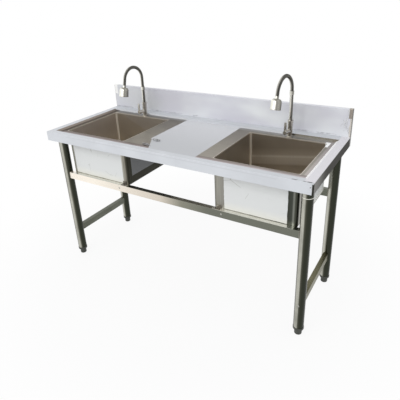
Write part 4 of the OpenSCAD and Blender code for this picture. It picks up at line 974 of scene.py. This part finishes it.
def neck_path(side):
    """Points and directions of a neck's centre line, from its column to its spray head."""
    low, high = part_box("tap_column_" + side)
    foot = Vector(((low.x + high.x) / 2, (low.y + high.y) / 2, high.z))
    start, radius, tail = NECK_ARCH[side]
    forward = Vector((-math.sin(NECK_SWING), -math.cos(NECK_SWING), 0))
    up = Vector((0, 0, 1))

    def at(s):
        a = min(max(s - start, 0) / radius, NECK_SWEEP)
        rest = max(0, s - start - radius * NECK_SWEEP)
        reach = radius * (1 - math.cos(a)) + rest * math.sin(a)
        rise = min(s, start) + radius * math.sin(a) + rest * math.cos(a)
        return foot + forward * reach + up * rise, forward * math.sin(a) + up * math.cos(a)

    return at, start + radius * NECK_SWEEP + tail, up.cross(forward)


class SINK_OT_taps(bpy.types.Operator):
    """Builds the ribbed necks and finishes the taps"""
    bl_idname = "sink.taps"
    bl_label = "Taps"

    # Which way the painted bright side is turned, in degrees from the front: body, column, head and hose
    windows = {"left": (-50, -63, -24, -50), "right": (-61, -60, -42, -64)}

    def execute(self, context):
        look = context.scene.sink_taps
        # Painted light and shade round each part, from its far side to the side turned to the light
        head = ((0.0, look.shade), (0.14, look.dark), (0.3, look.grey), (0.5, look.bounce), (0.66, look.grey),
                (0.72, look.bounce), (0.77, look.pale), (0.88, look.white), (1.0, look.white))
        body = ((0.0, look.pale), (0.2, look.body), (0.55, look.body), (0.66, look.bounce), (0.74, look.pale),
                (0.9, look.white), (1.0, look.white))
        pipe = ((0.0, look.bounce), (0.15, look.dark), (0.58, look.dark), (0.66, look.pale), (0.85, look.white),
                (1.0, look.white))
        hose = ((0.0, look.grey), (0.3, look.hose), (0.60, look.hose), (0.72, look.grey), (0.84, look.hose_lit_side),
                (1.0, look.white))
        brass = plated_metal("turned_brass", "#B8975A", "#A08048", 0.3)
        plate = moulded_plastic("moulded_spray_plate", "#2E2E2C", "#232321")
        wear(brushed_sheet("zinc_plated_nut", "#A9A69B", "#93908A", (1, 1, 1)), "tap_lock_nuts")
        for side in SIDES:
            at_body, at_column, at_head, at_hose = self.windows[side]
            wear(satin_nickel("satin_nickel_body_" + side, at_body, body), "tap_base_ring_" + side,
                 "tap_body_" + side)
            wear(satin_nickel("satin_nickel_lever_" + side, at_body, body), "tap_lever_" + side)
            wear(satin_nickel("polished_304_column_" + side, at_column, pipe, 0.14), "tap_column_" + side)
            wear(satin_nickel("satin_nickel_head_" + side, at_head, head), "neck_fittings_" + side,
                 "spray_head_" + side)
            wear(brass, "tap_cartridge_" + side)
            wear(plate, "spray_plate_" + side)
            steel = satin_nickel("ribbed_304_hose_" + side, at_hose, hose, 0.26)
            self.neck(context, side, steel, look.ribs)
        return {"FINISHED"}

    def neck(self, context, side, hose, ribs):
        """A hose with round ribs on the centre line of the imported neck."""
        at, length, across = neck_path(side)
        steps, around, depth, inner = 8, 32, 1.1 * MM, 48
        shape = bmesh.new()

        def ring(s, radius):
            point, along = at(s)
            normal = along.cross(across)
            return [shape.verts.new(point + radius * (math.cos(t) * across + math.sin(t) * normal))
                    for t in (2 * math.pi * i / around for i in range(around))]

        rings = []
        for k in range(ribs * steps + 1):
            wave = abs(math.sin(math.pi * k / steps))
            rings.append(ring(length * k / (ribs * steps), NECK_RADIUS - depth * (1 - wave)))
        bore = [ring(length * (1 - k / inner), NECK_BORE) for k in range(inner + 1)]
        lace(shape, rings + bore)
        piece = settle(context, "ribbed_neck_" + side, shape, hose, "spout_" + side)
        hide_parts("tap_neck_" + side)


class SINK_PT_panel(bpy.types.Panel):
    """Lists the settings and the buttons of the building steps"""
    bl_idname = "SINK_PT_panel"
    bl_label = "Sink Table"
    bl_space_type = "VIEW_3D"
    bl_region_type = "UI"
    bl_category = "Sink Table"

    def draw(self, context):
        for group in GROUPS:
            box = self.layout.box()
            settings = getattr(context.scene, group)
            for name in settings.__annotations__:
                box.prop(settings, name)
        for operator in OPERATORS:
            self.layout.operator(operator.bl_idname)


OPERATORS = (SINK_OT_stage, SINK_OT_sheets, SINK_OT_film, SINK_OT_bowls, SINK_OT_legs, SINK_OT_welds,
             SINK_OT_taps)
GROUPS = {"sink_sheets": SheetLook, "sink_bowls": BowlLook, "sink_frame": FrameLook, "sink_taps": TapLook,
          "sink_stage": StageLook}


def register():
    for name, group in GROUPS.items():
        bpy.utils.register_class(group)
        setattr(bpy.types.Scene, name, bpy.props.PointerProperty(type=group))
    for made in (*OPERATORS, SINK_PT_panel):
        bpy.utils.register_class(made)


def unregister():
    for made in (SINK_PT_panel, *reversed(OPERATORS)):
        bpy.utils.unregister_class(made)
    for name, group in reversed(list(GROUPS.items())):
        delattr(bpy.types.Scene, name)
        bpy.utils.unregister_class(group)


def main():
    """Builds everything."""
    register()
    bpy.ops.sink.stage()
    bpy.ops.sink.sheets()
    bpy.ops.sink.film()
    bpy.ops.sink.bowls()
    bpy.ops.sink.legs()
    bpy.ops.sink.welds()
    bpy.ops.sink.taps()


if __name__ == "__main__":
    main()
